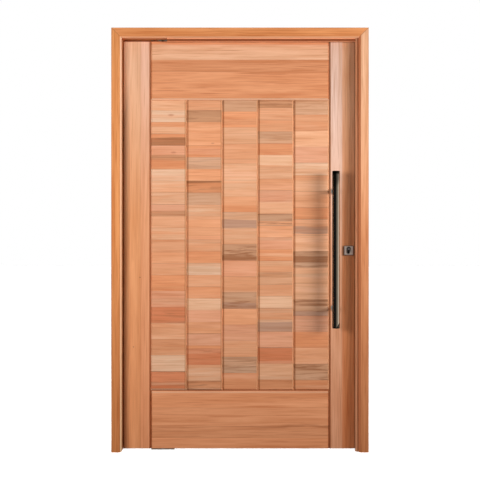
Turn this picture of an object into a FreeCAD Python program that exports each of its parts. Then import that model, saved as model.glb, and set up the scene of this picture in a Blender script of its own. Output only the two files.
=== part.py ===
import FreeCAD, Part
import math
import os

import Sketcher

# Pivot entry door of solid wood in its frame, closed.
# Millimetres. X runs along the width from the outer face of the pivot side jamb, Y from the
# outside (front, negative) to the inside, Z up from the floor. Y is zero at mid depth.

SIZES = {
    "leaf_width": (1200, "leaf, edge to edge"),
    "leaf_height": (2100, "leaf, bottom to top"),
    "leaf_thickness": (40, "leaf, face to face"),
    "stile_width": (140, "upright at each side of the leaf"),
    "rail_height": (300, "rail at the top and at the bottom of the leaf"),
    "column_count": (5, "panel columns between the stiles"),
    "groove_bevel": (7, "bevel on each side of a V groove"),
    "tongue_thickness": (10, "tongue, face to face"),
    "tongue_length": (10, "how far a tongue goes into its groove"),
    "tongue_side_fit": (0.2, "clearance at each face of a tongue"),
    "tongue_end_fit": (1, "clearance at the tip of a tongue"),
    "arris": (1.5, "small bevel on the outer edges of the leaf and of the stops"),
    "side_gap": (7, "between the leaf and each jamb"),
    "top_gap": (10, "between the leaf and the head"),
    "bottom_gap": (8, "between the leaf and the floor"),
    "frame_depth": (140, "jambs and head, front to back"),
    "jamb_thickness": (50, "jambs and head, across the grain"),
    "frame_bevel": (10, "bevel along the inner edges of the frame"),
    "stop_depth": (25, "stop, front to back"),
    "stop_projection": (15, "stop, out from the jamb"),
    "stop_gap": (5, "between a stop and the leaf"),
    "pivot_offset": (200, "pivot axis from the leaf's edge"),
    "pivot_clearance": (6, "between a head stop's end and the open leaf"),
    "pin_radius": (7, "pivot pins"),
    "pin_fit": (0.05, "radial running clearance of a pin"),
    "pin_engagement": (24, "how far a pin goes into the leaf"),
    "pin_end_fit": (2, "clearance at the end of a pin"),
    "pivot_plate_length": (120, "pivot plates, along the width"),
    "pivot_plate_width": (28, "pivot plates, front to back"),
    "pivot_plate_thickness": (3, "pivot plates"),
    "bushing_radius": (13, "bushings in the leaf, outside"),
    "bushing_height": (32, "bushings in the leaf"),
    "shoulder_radius": (11, "bearing shoulder under the leaf"),
    "shoulder_clearance": (0.3, "between the shoulder and the shoe"),
    "edge_plate_width": (22, "lock plates on the leaf's edge and the jamb"),
    "edge_plate_thickness": (3, "lock plates"),
    "faceplate_length": (240, "lock plate on the leaf's edge"),
    "faceplate_rise": (40, "faceplate's centre above the lock's"),
    "strike_length": (150, "lock plate on the jamb"),
    "strike_rise": (53, "strike plate's centre above the lock's"),
    "strike_fit": (1, "clearance round the roller and the bolt in the strike plate"),
    "strike_depth": (20, "hollow in the jamb behind the strike plate"),
    "case_thickness": (15, "lock case, across the leaf"),
    "case_height": (190, "lock case"),
    "case_depth": (66, "lock case, behind the faceplate"),
    "case_wall": (1.5, "lock case"),
    "case_fit": (0.4, "clearance round the case in its mortise"),
    "roller_radius": (5.7, "latch roller, and half its carriage"),
    "roller_length": (38, "latch roller and its carriage, in height"),
    "roller_rise": (80, "roller's centre above the lock's"),
    "roller_proud": (1, "roller out from the faceplate"),
    "carriage_length": (26, "roller carriage, back from the roller's axis"),
    "deadbolt_thickness": (11.4, "deadbolt, across the leaf"),
    "deadbolt_height": (30, "deadbolt"),
    "deadbolt_rise": (27, "deadbolt's centre above the lock's"),
    "deadbolt_length": (26, "deadbolt, along the width"),
    "mouth_fit": (0.3, "clearance round the roller and the bolt in their mouths"),
    "lock_height": (1030, "lock's centre above the floor"),
    "lock_backset": (40, "lock's centre from the leaf's edge"),
    "rose_side": (50, "square lock rose"),
    "rose_thickness": (8, "square lock rose"),
    "rose_bevel": (1.5, "bevel round the face of a rose"),
    "cylinder_radius": (8.5, "round part of the lock cylinder"),
    "cylinder_stem_radius": (5, "narrow part of the lock cylinder"),
    "cylinder_stem_drop": (19.5, "centre of the stem's round below the barrel's"),
    "cylinder_rise": (8, "barrel's centre above the lock's centre"),
    "cylinder_proud": (2, "cylinder out from the rose"),
    "cylinder_fit": (0.3, "clearance round the cylinder in a rose"),
    "cylinder_hole_fit": (1, "clearance round the cylinder in the stile"),
    "plug_radius": (6, "key plug"),
    "plug_fit": (0.05, "radial running clearance of the key plug"),
    "plug_length": (26, "key plug"),
    "plug_end_fit": (0.2, "clearance behind the key plug"),
    "plug_proud": (0.5, "key plug out from the cylinder"),
    "keyway_width": (2.2, "slot for the key"),
    "keyway_height": (7, "slot for the key"),
    "keyway_depth": (20, "slot for the key"),
    "pull_length": (800, "pull handle, end to end"),
    "pull_centre_height": (1035, "pull handle's centre above the floor"),
    "pull_backset": (112, "pull handle's axis from the leaf's edge"),
    "pull_radius": (19, "pull handle's tube, outside"),
    "pull_wall": (2, "pull handle's tube, wall"),
    "pull_standoff": (65, "pull handle's axis from the leaf's face"),
    "pull_post_spacing": (600, "between the two posts of a pull handle"),
    "post_radius": (10, "post"),
    "tie_bolt_radius": (4, "bolt that ties an outer post to an inner one"),
    "tie_bolt_grip": (18, "how far a tie bolt goes into a post"),
    "tie_bolt_fit": (0.05, "clearance round a tie bolt in a post"),
    "tie_bolt_end_fit": (0.5, "clearance at the end of a tie bolt"),
    "tie_hole_fit": (0.4, "clearance round a tie bolt in the stile"),
    "flange_radius": (18, "flange at the foot of a post"),
    "flange_thickness": (6, "flange at the foot of a post"),
    "flange_bevel": (1.5, "bevel round a flange"),
    "cap_thickness": (3, "cap on each end of the tube"),
    "cap_bevel": (1, "bevel round a cap"),
    "cap_spigot": (8, "spigot of a cap inside the tube"),
    "cap_fit": (0.1, "clearance between the spigot and the tube"),
}

PLACES = {
    "clear_width": "size.leaf_width + 2 * size.side_gap",
    "frame_width": "clear_width + 2 * size.jamb_thickness",
    "lock_jamb_face": "frame_width - size.jamb_thickness",
    "leaf_left": "size.jamb_thickness + size.side_gap",
    "leaf_right": "leaf_left + size.leaf_width",
    "leaf_top": "size.bottom_gap + size.leaf_height",
    "head_underside": "leaf_top + size.top_gap",
    "frame_height": "head_underside + size.jamb_thickness",
    "leaf_face": "size.leaf_thickness / 2",
    "half_depth": "size.frame_depth / 2",
    "stop_near": "leaf_face + size.stop_gap",
    "stop_far": "stop_near + size.stop_depth",
    "pivot_axis": "leaf_left + size.pivot_offset",
    "stop_end_setback": "leaf_face + size.pivot_clearance",
    "column_width": "(size.leaf_width - 2 * size.stile_width) / size.column_count",
    "column_height": "size.leaf_height - 2 * size.rail_height",
    "panel_left": "leaf_left + size.stile_width",
    "panel_width": "size.leaf_width - 2 * size.stile_width",
    "panel_bottom": "size.bottom_gap + size.rail_height",
    "panel_top": "panel_bottom + column_height",
    "bore_depth": "size.pin_engagement + size.pin_end_fit",
    "lock_axis": "leaf_right - size.lock_backset",
    "barrel_height": "size.lock_height + size.cylinder_rise",
    "cylinder_half_length": "leaf_face + size.rose_thickness + size.cylinder_proud",
    "pull_axis": "leaf_right - size.pull_backset",
    "pull_reach": "leaf_face + size.pull_standoff",
    "tube_length": "size.pull_length - 2 * size.cap_thickness",
    "faceplate_centre": "size.lock_height + size.faceplate_rise",
    "strike_centre": "size.lock_height + size.strike_rise",
    "roller_centre": "size.lock_height + size.roller_rise",
    "deadbolt_centre": "size.lock_height + size.deadbolt_rise",
    "case_face": "leaf_right - size.edge_plate_thickness",
    "roller_axis": "leaf_right + size.roller_proud - size.roller_radius",
    "stile_inner_edge": "leaf_right - size.stile_width",
}

FRONT, BACK = -1, 1

doc = FreeCAD.newDocument("pivot_door")
size = doc.addObject("Spreadsheet::Sheet", "size")
place = doc.addObject("Spreadsheet::Sheet", "place")
pieces = {}


def fill_sheets():
    """Driving sizes go in the first sheet, places worked out from them in the second."""
    for row, (alias, (value, note)) in enumerate(SIZES.items(), start=1):
        size.set(f"A{row}", note)
        size.set(f"B{row}", str(value))
        size.setAlias(f"B{row}", alias)
    for row, (alias, formula) in enumerate(PLACES.items(), start=1):
        place.set(f"A{row}", alias)
        place.setAlias(f"B{row}", alias)
    for row, (alias, formula) in enumerate(PLACES.items(), start=1):
        place.set(f"B{row}", "=" + formula)
    doc.recompute()


def move(piece, **coordinates):
    """Bind a piece's place to sheet values, such as x="place.leaf_left"."""
    for axis, expression in coordinates.items():
        piece.setExpression(f"Placement.Base.{axis}", expression)


def keep(name, piece):
    """Make an object the finished piece of this name; the one it was made from is a blank."""
    if name in pieces:
        pieces[name].Label = f"{name}_blank"
    piece.Label = name
    pieces[name] = piece


def new_body(name, **coordinates):
    body = doc.addObject("PartDesign::Body", name)
    move(body, **coordinates)
    keep(name, body)
    return body


def new_sketch(body, role, lift=None):
    """A sketch on one of the body's own origin planes, lifted along the plane's normal."""
    plane = next(part for part in body.Origin.OriginFeatures if part.Role == role)
    sketch = body.newObject("Sketcher::SketchObject", f"{body.Name}_sketch")
    sketch.AttachmentSupport = (plane, [""])
    sketch.MapMode = "FlatFace"
    if lift:
        sketch.setExpression("AttachmentOffset.Base.z", lift)
    return sketch


def bind_point(sketch, geometry, end, x, y):
    """Hold a point at a distance from the sketch's origin that the sheets give."""
    for kind, expression in (("DistanceX", x), ("DistanceY", y)):
        index = sketch.addConstraint(Sketcher.Constraint(kind, -1, 1, geometry, end, 1.0))
        sketch.setExpression(f"Constraints[{index}]", str(expression))


def draw_polygon(sketch, corners):
    """A closed outline through corners, each a pair of expressions."""
    first = sketch.GeometryCount
    count = len(corners)
    turns = [2 * math.pi * index / count for index in range(count + 1)]
    start = [FreeCAD.Vector(math.cos(turn), math.sin(turn), 0) for turn in turns]
    for index in range(count):
        sketch.addGeometry(Part.LineSegment(start[index], start[index + 1]), False)
    for index in range(count):
        following = first + (index + 1) % count
        sketch.addConstraint(Sketcher.Constraint("Coincident", first + index, 2, following, 1))
    for index, (x, y) in enumerate(corners):
        bind_point(sketch, first + index, 1, x, y)


def draw_rectangle(sketch, left, bottom, right, top):
    draw_polygon(sketch, [(left, bottom), (right, bottom), (right, top), (left, top)])


def draw_circle(sketch, x, y, radius):
    index = sketch.GeometryCount
    sketch.addGeometry(Part.Circle(FreeCAD.Vector(0, 0, 0), FreeCAD.Vector(0, 0, 1), 1), False)
    bind_point(sketch, index, 3, x, y)
    held = sketch.addConstraint(Sketcher.Constraint("Radius", index, 1.0))
    sketch.setExpression(f"Constraints[{held}]", radius)


def volume_of(body):
    return body.Tip.Shape.Volume if body.Tip else 0.0


def extrude(body, kind, sketch, length, symmetric=False, reverse=False):
    """Pad or pocket a sketch, and make sure that it added or removed material."""
    doc.recompute()
    before = volume_of(body)
    feature = body.newObject(f"PartDesign::{kind}", f"{body.Name}_{kind.lower()}")
    feature.Profile = sketch
    feature.SideType = "Symmetric" if symmetric else "One side"
    feature.Reversed = reverse
    feature.setExpression("Length", length)
    doc.recompute()
    change = volume_of(body) - before
    if (change <= 0) if kind == "Pad" else (change >= 0):
        raise RuntimeError(f"{feature.Name} changed the volume by {change:.3f}")
    return feature


def pad(body, sketch, length, **options):
    return extrude(body, "Pad", sketch, length, **options)


def pocket(body, sketch, length, **options):
    return extrude(body, "Pocket", sketch, length, **options)


def edges_at(shape, **limits):
    """Names of the straight edges that lie on the given sides of the shape's box."""
    box = shape.BoundBox
    sides = {
        "x": {"min": box.XMin, "max": box.XMax},
        "y": {"min": box.YMin, "max": box.YMax},
        "z": {"min": box.ZMin, "max": box.ZMax},
    }
    names = []
    for number, edge in enumerate(shape.Edges, start=1):
        ends = [vertex.Point for vertex in edge.Vertexes]
        if all(
            abs(getattr(end, axis) - sides[axis][side]) < 1e-4
            for end in ends
            for axis, side in limits.items()
        ):
            names.append(f"Edge{number}")
    return names


def chamfer(body, amount, *wanted):
    """Bevel the edges that lie on each wanted pair of sides."""
    doc.recompute()
    base = body.Tip
    names = [name for limits in wanted for name in edges_at(base.Shape, **limits)]
    feature = body.newObject("PartDesign::Chamfer", f"{body.Name}_chamfer")
    feature.Base = (base, names)
    feature.setExpression("Size", amount)
    doc.recompute()
    return feature


def both_faces(**limits):
    """The same side of the front face and of the back face."""
    return [dict(limits, y="min"), dict(limits, y="max")]


# The frame: two jambs and a head, mitred at the corners


def make_jamb(name, side, left):
    """An upright of the frame. side is 1 where the opening lies at its +X side, else -1."""
    body = new_body(name, x=left)
    inner = f"{side} * size.jamb_thickness"
    sketch = new_sketch(body, "XZ_Plane")
    corners = [(0, 0), (inner, 0), (inner, "place.head_underside"), (0, "place.frame_height")]
    draw_polygon(sketch, corners)
    pad(body, sketch, "size.frame_depth", symmetric=True)
    outer_side, inner_side = ("min", "max") if side > 0 else ("max", "min")
    chamfer(body, "size.frame_bevel", *both_faces(x=inner_side))
    chamfer(body, "size.arris", *both_faces(x=outer_side))
    return body


def make_head():
    body = new_body("head_jamb", z="place.head_underside")
    sketch = new_sketch(body, "XZ_Plane")
    corners = [
        ("size.jamb_thickness", 0),
        ("place.lock_jamb_face", 0),
        ("place.frame_width", "size.jamb_thickness"),
        (0, "size.jamb_thickness"),
    ]
    draw_polygon(sketch, corners)
    pad(body, sketch, "size.frame_depth", symmetric=True)
    chamfer(body, "size.frame_bevel", *both_faces(z="min"))
    chamfer(body, "size.arris", *both_faces(z="max"))
    recess = new_sketch(body, "XY_Plane")
    draw_plate_outline(recess, "place.pivot_axis")
    pocket(body, recess, "size.pivot_plate_thickness", reverse=True)
    return body


def make_stop(name, face, left, right, bottom, top, bevelled):
    """A stop strip planted on the frame, in front of the leaf or behind it."""
    near = "place.stop_near" if face == BACK else "-place.stop_far"
    body = new_body(name, y=near)
    sketch = new_sketch(body, "XZ_Plane")
    draw_rectangle(sketch, left, bottom, right, top)
    pad(body, sketch, "size.stop_depth", reverse=True)
    chamfer(body, "size.arris", *both_faces(**bevelled))
    return body


def make_frame():
    make_jamb("pivot_side_jamb", 1, "0")
    lock_jamb = make_jamb("lock_side_jamb", -1, "place.frame_width")
    cut_edge_plate_recess(
        lock_jamb, "-size.jamb_thickness", 1, "size.strike_length", "place.strike_centre"
    )
    hollow = new_sketch(lock_jamb, "YZ_Plane", lift="-size.jamb_thickness")
    draw_mouths(hollow, "size.strike_fit")
    pocket(lock_jamb, hollow, "size.strike_depth", reverse=True)
    make_head()
    pivot_stop_face = "size.jamb_thickness + size.stop_projection"
    lock_stop_face = "place.lock_jamb_face - size.stop_projection"
    head_stop_bottom = "place.head_underside - size.stop_projection"
    make_stop(
        "pivot_side_stop", BACK, "size.jamb_thickness", pivot_stop_face,
        0, "place.head_underside", {"x": "max"},
    )
    make_stop(
        "lock_side_stop", FRONT, lock_stop_face, "place.lock_jamb_face",
        0, "place.head_underside", {"x": "min"},
    )
    make_stop(
        "head_stop_front", FRONT, "place.pivot_axis + place.stop_end_setback", lock_stop_face,
        head_stop_bottom, "place.head_underside", {"z": "min"},
    )
    make_stop(
        "head_stop_back", BACK, pivot_stop_face, "place.pivot_axis - place.stop_end_setback",
        head_stop_bottom, "place.head_underside", {"z": "min"},
    )


# The leaf: stiles, rails and panel columns, joined by tongues in grooves


def board_side(side, width, height):
    """The two ends of a board's side in its own sketch, and which way is outwards."""
    return {
        "left": ((0, 0), (0, height), (-1, 0)),
        "right": ((width, 0), (width, height), (1, 0)),
        "bottom": ((0, 0), (width, 0), (0, -1)),
        "top": ((0, height), (width, height), (0, 1)),
    }[side]


def strip_corners(side, width, height, depth):
    """The outline of a strip along a side: outside the board, or inside it if depth is negative."""
    (x1, y1), (x2, y2), (out_x, out_y) = board_side(side, width, height)
    shifted_1 = (f"{x1} + {out_x} * ({depth})", f"{y1} + {out_y} * ({depth})")
    shifted_2 = (f"{x2} + {out_x} * ({depth})", f"{y2} + {out_y} * ({depth})")
    return [(x1, y1), (x2, y2), shifted_2, shifted_1]


def make_board(name, left, bottom, width, height, tongues=(), grooves=(), bevels=(), eased=()):
    """A board of the leaf: its tongues, grooves, V groove bevels and eased edges, by side."""
    box_side = {
        "left": {"x": "min"},
        "right": {"x": "max"},
        "bottom": {"z": "min"},
        "top": {"z": "max"},
    }
    body = new_body(name, x=left, z=bottom)
    sketch = new_sketch(body, "XZ_Plane")
    draw_rectangle(sketch, 0, 0, width, height)
    pad(body, sketch, "size.leaf_thickness", symmetric=True)
    for amount, sides in (("size.groove_bevel", bevels), ("size.arris", eased)):
        if sides:
            chamfer(body, amount, *[limits for side in sides for limits in both_faces(**box_side[side])])
    for side in tongues:
        strip = new_sketch(body, "XZ_Plane")
        draw_polygon(strip, strip_corners(side, width, height, "size.tongue_length"))
        pad(body, strip, "size.tongue_thickness", symmetric=True)
    for side in grooves:
        depth = "-size.tongue_length - size.tongue_end_fit"
        strip = new_sketch(body, "XZ_Plane")
        draw_polygon(strip, strip_corners(side, width, height, depth))
        groove_width = "size.tongue_thickness + 2 * size.tongue_side_fit"
        pocket(body, strip, groove_width, symmetric=True)
    return body


def make_leaf_boards():
    make_board(
        "pivot_side_stile", "place.leaf_left", "size.bottom_gap",
        "size.stile_width", "size.leaf_height", grooves=["right"], bevels=["right"],
        eased=["left", "bottom", "top"],
    )
    make_board(
        "lock_side_stile", "place.stile_inner_edge", "size.bottom_gap",
        "size.stile_width", "size.leaf_height", grooves=["left"], bevels=["left"],
        eased=["right", "bottom", "top"],
    )
    make_board(
        "bottom_rail", "place.panel_left", "size.bottom_gap", "place.panel_width",
        "size.rail_height", tongues=["left", "right"], grooves=["top"],
        bevels=["left", "right", "top"], eased=["bottom"],
    )
    make_board(
        "top_rail", "place.panel_left", "place.panel_top", "place.panel_width",
        "size.rail_height", tongues=["left", "right"], grooves=["bottom"],
        bevels=["left", "right", "bottom"], eased=["top"],
    )
    count = SIZES["column_count"][0]
    for number in range(1, count + 1):
        last = number == count
        make_board(
            f"panel_column_{number}", f"place.panel_left + {number - 1} * place.column_width",
            "place.panel_bottom", "place.column_width", "place.column_height",
            tongues=["left", "bottom", "top"] + (["right"] if last else []),
            grooves=[] if last else ["right"],
            bevels=["left", "right", "bottom", "top"],
        )


# The pivots: a plate with a pin on the frame's side, a plate with a bushing in the leaf


def draw_plate_outline(sketch, centre):
    half_length = "size.pivot_plate_length / 2"
    half_width = "size.pivot_plate_width / 2"
    draw_rectangle(
        sketch, f"{centre} - {half_length}", f"-{half_width}",
        f"{centre} + {half_length}", half_width,
    )


def make_pin_plate(name, height, up):
    """A pivot plate with its pin, at the head (pin down) or on the floor (pin up)."""
    body = new_body(name, x="place.pivot_axis", z=height)
    outline = new_sketch(body, "XY_Plane")
    draw_plate_outline(outline, "0")
    pad(body, outline, "size.pivot_plate_thickness", reverse=not up)
    return body


def make_pivots():
    head_plate = make_pin_plate(
        "head_pivot_plate", "place.head_underside + size.pivot_plate_thickness", False
    )
    pin = new_sketch(head_plate, "XY_Plane")
    draw_circle(pin, 0, 0, "size.pin_radius")
    head_pin = "size.pivot_plate_thickness + size.top_gap + size.pin_engagement"
    pad(head_plate, pin, head_pin, reverse=True)

    floor_plate = make_pin_plate("floor_pivot_plate", "0", True)
    shoulder = new_sketch(floor_plate, "XY_Plane")
    draw_circle(shoulder, 0, 0, "size.shoulder_radius")
    pad(floor_plate, shoulder, "size.bottom_gap - size.shoulder_clearance")
    pin = new_sketch(floor_plate, "XY_Plane")
    draw_circle(pin, 0, 0, "size.pin_radius")
    pad(floor_plate, pin, "size.bottom_gap + size.pin_engagement")

    make_bushing("top_pivot_socket", "place.leaf_top", True)
    make_bushing("bottom_pivot_shoe", "size.bottom_gap", False)
    rail_centre = "place.pivot_axis - place.panel_left"
    cut_bushing_seat(pieces["top_rail"], rail_centre, "size.rail_height", True)
    cut_bushing_seat(pieces["bottom_rail"], rail_centre, "0", False)


def make_bushing(name, height, top):
    """A plate let into the leaf's top or bottom edge, with a bushing that takes the pin."""
    body = new_body(name, x="place.pivot_axis", z=height)
    outline = new_sketch(body, "XY_Plane")
    draw_plate_outline(outline, "0")
    pad(body, outline, "size.pivot_plate_thickness", reverse=top)
    barrel = new_sketch(body, "XY_Plane")
    draw_circle(barrel, 0, 0, "size.bushing_radius")
    pad(body, barrel, "size.bushing_height", reverse=top)
    bore = new_sketch(body, "XY_Plane")
    draw_circle(bore, 0, 0, "size.pin_radius + size.pin_fit")
    pocket(body, bore, "place.bore_depth", reverse=not top)
    return body


def cut_bushing_seat(rail, centre, height, top):
    outline = new_sketch(rail, "XY_Plane", lift=height)
    draw_plate_outline(outline, centre)
    pocket(rail, outline, "size.pivot_plate_thickness", reverse=not top)
    hole = new_sketch(rail, "XY_Plane", lift=height)
    draw_circle(hole, centre, 0, "size.bushing_radius")
    pocket(rail, hole, "size.bushing_height", reverse=not top)


# The lock: case, plates, latch roller, deadbolt, roses, cylinder and key plugs


def draw_edge_plate(sketch, length, centre):
    """A lock plate's outline, seen along the width."""
    half = "size.edge_plate_width / 2"
    draw_rectangle(
        sketch, f"-{half}", f"{centre} - {length} / 2", half, f"{centre} + {length} / 2"
    )


def cut_edge_plate_recess(body, surface, inwards, length, centre):
    """A flush recess for a lock plate in an X facing surface; inwards is 1 or -1 along X."""
    sketch = new_sketch(body, "YZ_Plane", lift=surface)
    draw_edge_plate(sketch, length, centre)
    pocket(body, sketch, "size.edge_plate_thickness", reverse=inwards > 0)


def draw_mouths(sketch, fit):
    """The mouths for the latch roller and the deadbolt, seen along the width."""
    mouths = [
        ("size.roller_radius", "size.roller_length / 2", "place.roller_centre"),
        ("size.deadbolt_thickness / 2", "size.deadbolt_height / 2", "place.deadbolt_centre"),
    ]
    for half_width, half_height, centre in mouths:
        draw_rectangle(
            sketch, f"-{half_width} - {fit}", f"{centre} - {half_height} - {fit}",
            f"{half_width} + {fit}", f"{centre} + {half_height} + {fit}",
        )


def make_edge_plate(name, surface, inwards, length, centre, fit):
    body = new_body(name, x=surface)
    sketch = new_sketch(body, "YZ_Plane")
    draw_edge_plate(sketch, length, centre)
    draw_mouths(sketch, fit)
    pad(body, sketch, "size.edge_plate_thickness", reverse=inwards < 0)


def make_case():
    """A thin walled case behind the faceplate, open at its mouths and for the cylinder."""
    body = new_body("lock_case", x="place.case_face", z="place.faceplate_centre")
    for kind, wall, thickness in (
        ("Pad", "0", "size.case_thickness"),
        ("Pocket", "size.case_wall", "size.case_thickness - 2 * size.case_wall"),
    ):
        half_height = f"(size.case_height / 2 - {wall})"
        sketch = new_sketch(body, "XZ_Plane")
        draw_rectangle(
            sketch, f"{wall} - size.case_depth", f"-{half_height}", f"-{wall}", half_height
        )
        extrude(body, kind, sketch, thickness, symmetric=True)
    mouths = new_sketch(body, "YZ_Plane")
    mouths.setExpression("AttachmentOffset.Base.y", "-place.faceplate_centre")
    draw_mouths(mouths, "size.mouth_fit")
    pocket(body, mouths, "size.case_wall")
    opening = make_cylinder_profile("case_opening", "size.mouth_fit", "size.case_thickness")
    cut_away("lock_case", opening)


def cut_case_mortise(stile):
    cut_edge_plate_recess(
        stile, "size.stile_width", -1, "size.faceplate_length",
        "place.faceplate_centre - size.bottom_gap",
    )
    mortise = new_sketch(stile, "YZ_Plane", lift="size.stile_width")
    half_width = "(size.case_thickness / 2 + size.case_fit)"
    half_height = "(size.case_height / 2 + size.case_fit)"
    centre = "place.faceplate_centre - size.bottom_gap"
    draw_rectangle(
        mortise, f"-{half_width}", f"{centre} - {half_height}",
        half_width, f"{centre} + {half_height}",
    )
    pocket(stile, mortise, "size.edge_plate_thickness + size.case_depth + size.case_fit")


def make_latch_and_bolt():
    latch = new_body("latch_roller", x="place.roller_axis", z="place.roller_centre")
    roller = new_sketch(latch, "XY_Plane")
    draw_circle(roller, 0, 0, "size.roller_radius")
    pad(latch, roller, "size.roller_length", symmetric=True)
    carriage = new_sketch(latch, "XY_Plane")
    draw_rectangle(
        carriage, "-size.carriage_length", "-size.roller_radius", 0, "size.roller_radius"
    )
    pad(latch, carriage, "size.roller_length", symmetric=True)

    deadbolt = new_body("deadbolt", x="place.leaf_right", z="place.deadbolt_centre")
    outline = new_sketch(deadbolt, "XZ_Plane")
    half = "size.deadbolt_height / 2"
    draw_rectangle(outline, "-size.deadbolt_length", f"-{half}", 0, half)
    pad(deadbolt, outline, "size.deadbolt_thickness", symmetric=True)


def make_cylinder_profile(name, fit, half_length):
    """The lock cylinder's outline as a solid: a round barrel with a narrow stem below it."""
    barrel = doc.addObject("Part::Cylinder", f"{name}_barrel")
    foot = doc.addObject("Part::Cylinder", f"{name}_foot")
    web = doc.addObject("Part::Box", f"{name}_web")
    stem_radius = f"(size.cylinder_stem_radius + {fit})"
    foot_height = "place.barrel_height - size.cylinder_stem_drop"
    barrel.setExpression("Radius", f"size.cylinder_radius + {fit}")
    foot.setExpression("Radius", stem_radius)
    for round_part, height in ((barrel, "place.barrel_height"), (foot, foot_height)):
        round_part.setExpression("Height", f"2 * {half_length}")
        round_part.Placement.Rotation = FreeCAD.Rotation(FreeCAD.Vector(1, 0, 0), -90)
        move(round_part, x="place.lock_axis", y=f"-{half_length}", z=height)
    web.setExpression("Length", f"2 * {stem_radius}")
    web.setExpression("Width", f"2 * {half_length}")
    web.setExpression("Height", "size.cylinder_stem_drop")
    move(web, x=f"place.lock_axis - {stem_radius}", y=f"-{half_length}", z=foot_height)
    profile = doc.addObject("Part::MultiFuse", name)
    profile.Shapes = [barrel, foot, web]
    profile.Refine = True
    return profile


def cut_away(name, *tools):
    """Cut tools from a piece; the last cut becomes the finished piece."""
    for tool in tools:
        doc.recompute()
        base = pieces[name]
        step = doc.addObject("Part::Cut", f"{name}_cut")
        step.Base = base
        step.Tool = tool
        doc.recompute()
        if step.Shape.Volume >= base.Shape.Volume:
            raise RuntimeError(f"{tool.Name} removed nothing from {name}")
        keep(name, step)


def make_rose(name, face):
    body = new_body(name, x="place.lock_axis", y=f"{face} * place.leaf_face", z="size.lock_height")
    half = "size.rose_side / 2"
    sketch = new_sketch(body, "XZ_Plane")
    draw_rectangle(sketch, f"-{half}", f"-{half}", half, half)
    pad(body, sketch, "size.rose_thickness", reverse=face == BACK)
    outer = "min" if face == FRONT else "max"
    around = [("x", "min"), ("x", "max"), ("z", "min"), ("z", "max")]
    chamfer(body, "size.rose_bevel", *[{axis: side, "y": outer} for axis, side in around])
    cut_away(name, make_cylinder_profile(f"{name}_opening", "size.mouth_fit", "place.half_depth"))


def make_plug(name, face):
    """A key plug in the cylinder's barrel, its keyway open to the outside."""
    front = f"{face} * (place.cylinder_half_length + size.plug_proud)"
    body = new_body(name, x="place.lock_axis", y=front, z="place.barrel_height")
    outline = new_sketch(body, "XZ_Plane")
    draw_circle(outline, 0, 0, "size.plug_radius")
    pad(body, outline, "size.plug_length", reverse=face == FRONT)
    slot = new_sketch(body, "XZ_Plane")
    half_width, half_height = "size.keyway_width / 2", "size.keyway_height / 2"
    draw_rectangle(slot, f"-{half_width}", f"-{half_height}", half_width, half_height)
    pocket(body, slot, "size.keyway_depth", reverse=face == BACK)


def make_plug_bore(name, face):
    bore = doc.addObject("Part::Cylinder", f"{name}_bore")
    bore.setExpression("Radius", "size.plug_radius + size.plug_fit")
    bore.setExpression("Height", "size.plug_length - size.plug_proud + size.plug_end_fit")
    bore.Placement.Rotation = FreeCAD.Rotation(FreeCAD.Vector(1, 0, 0), face * 90)
    front = f"{face} * place.cylinder_half_length"
    move(bore, x="place.lock_axis", y=front, z="place.barrel_height")
    return bore


def make_lock():
    cut_case_mortise(pieces["lock_side_stile"])
    make_case()
    make_edge_plate(
        "lock_faceplate", "place.leaf_right", -1, "size.faceplate_length",
        "place.faceplate_centre", "size.mouth_fit",
    )
    make_edge_plate(
        "strike_plate", "place.lock_jamb_face", 1, "size.strike_length",
        "place.strike_centre", "size.strike_fit",
    )
    make_latch_and_bolt()
    hole = make_cylinder_profile("cylinder_hole", "size.cylinder_hole_fit", "place.half_depth")
    cut_away("lock_side_stile", hole)
    blank = make_cylinder_profile("lock_cylinder", "0", "place.cylinder_half_length")
    keep("lock_cylinder", blank)
    sides = (("outer", FRONT), ("inner", BACK))
    cut_away("lock_cylinder", *[make_plug_bore(name, face) for name, face in sides])
    for name, face in sides:
        make_rose(f"{name}_lock_rose", face)
        make_plug(f"{name}_key_plug", face)


# The pull handles: the same one outside and inside, tied together through the stile


def revolve(body, sketch):
    """Turn a profile once round its sketch's upright axis."""
    turned = body.newObject("PartDesign::Revolution", f"{body.Name}_revolution")
    turned.Profile = sketch
    turned.ReferenceAxis = (sketch, ["V_Axis"])
    turned.Angle = 360
    doc.recompute()


def join_pair(name, make, face):
    """Two like solids that do not touch, the upper and the lower one, as one piece."""
    halves = []
    for end_name, end in (("upper", 1), ("lower", -1)):
        half = doc.addObject("PartDesign::Body", f"{name}_{end_name}")
        half.Label = half.Name
        make(half, face, end)
        halves.append(half)
    pair = doc.addObject("Part::Compound", name)
    pair.Links = halves
    keep(name, pair)


def make_pull_tube(name, face):
    body = new_body(
        name, x="place.pull_axis", y=f"{face} * place.pull_reach", z="size.pull_centre_height"
    )
    ring = new_sketch(body, "XY_Plane")
    draw_circle(ring, 0, 0, "size.pull_radius")
    draw_circle(ring, 0, 0, "size.pull_radius - size.pull_wall")
    pad(body, ring, "place.tube_length", symmetric=True)


def shape_cap(body, face, end):
    """A cap with a spigot inside the tube; end is 1 for the upper one, -1 for the lower."""
    tube_end = f"size.pull_centre_height + {end} * place.tube_length / 2"
    move(body, x="place.pull_axis", y=f"{face} * place.pull_reach", z=tube_end)
    profile = new_sketch(body, "XZ_Plane")
    spigot = "size.pull_radius - size.pull_wall - size.cap_fit"
    corners = [
        (0, f"-({end}) * size.cap_spigot"),
        (spigot, f"-({end}) * size.cap_spigot"),
        (spigot, 0),
        ("size.pull_radius", 0),
        ("size.pull_radius", f"({end}) * (size.cap_thickness - size.cap_bevel)"),
        ("size.pull_radius - size.cap_bevel", f"({end}) * size.cap_thickness"),
        (0, f"({end}) * size.cap_thickness"),
    ]
    draw_polygon(profile, corners)
    revolve(body, profile)


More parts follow.
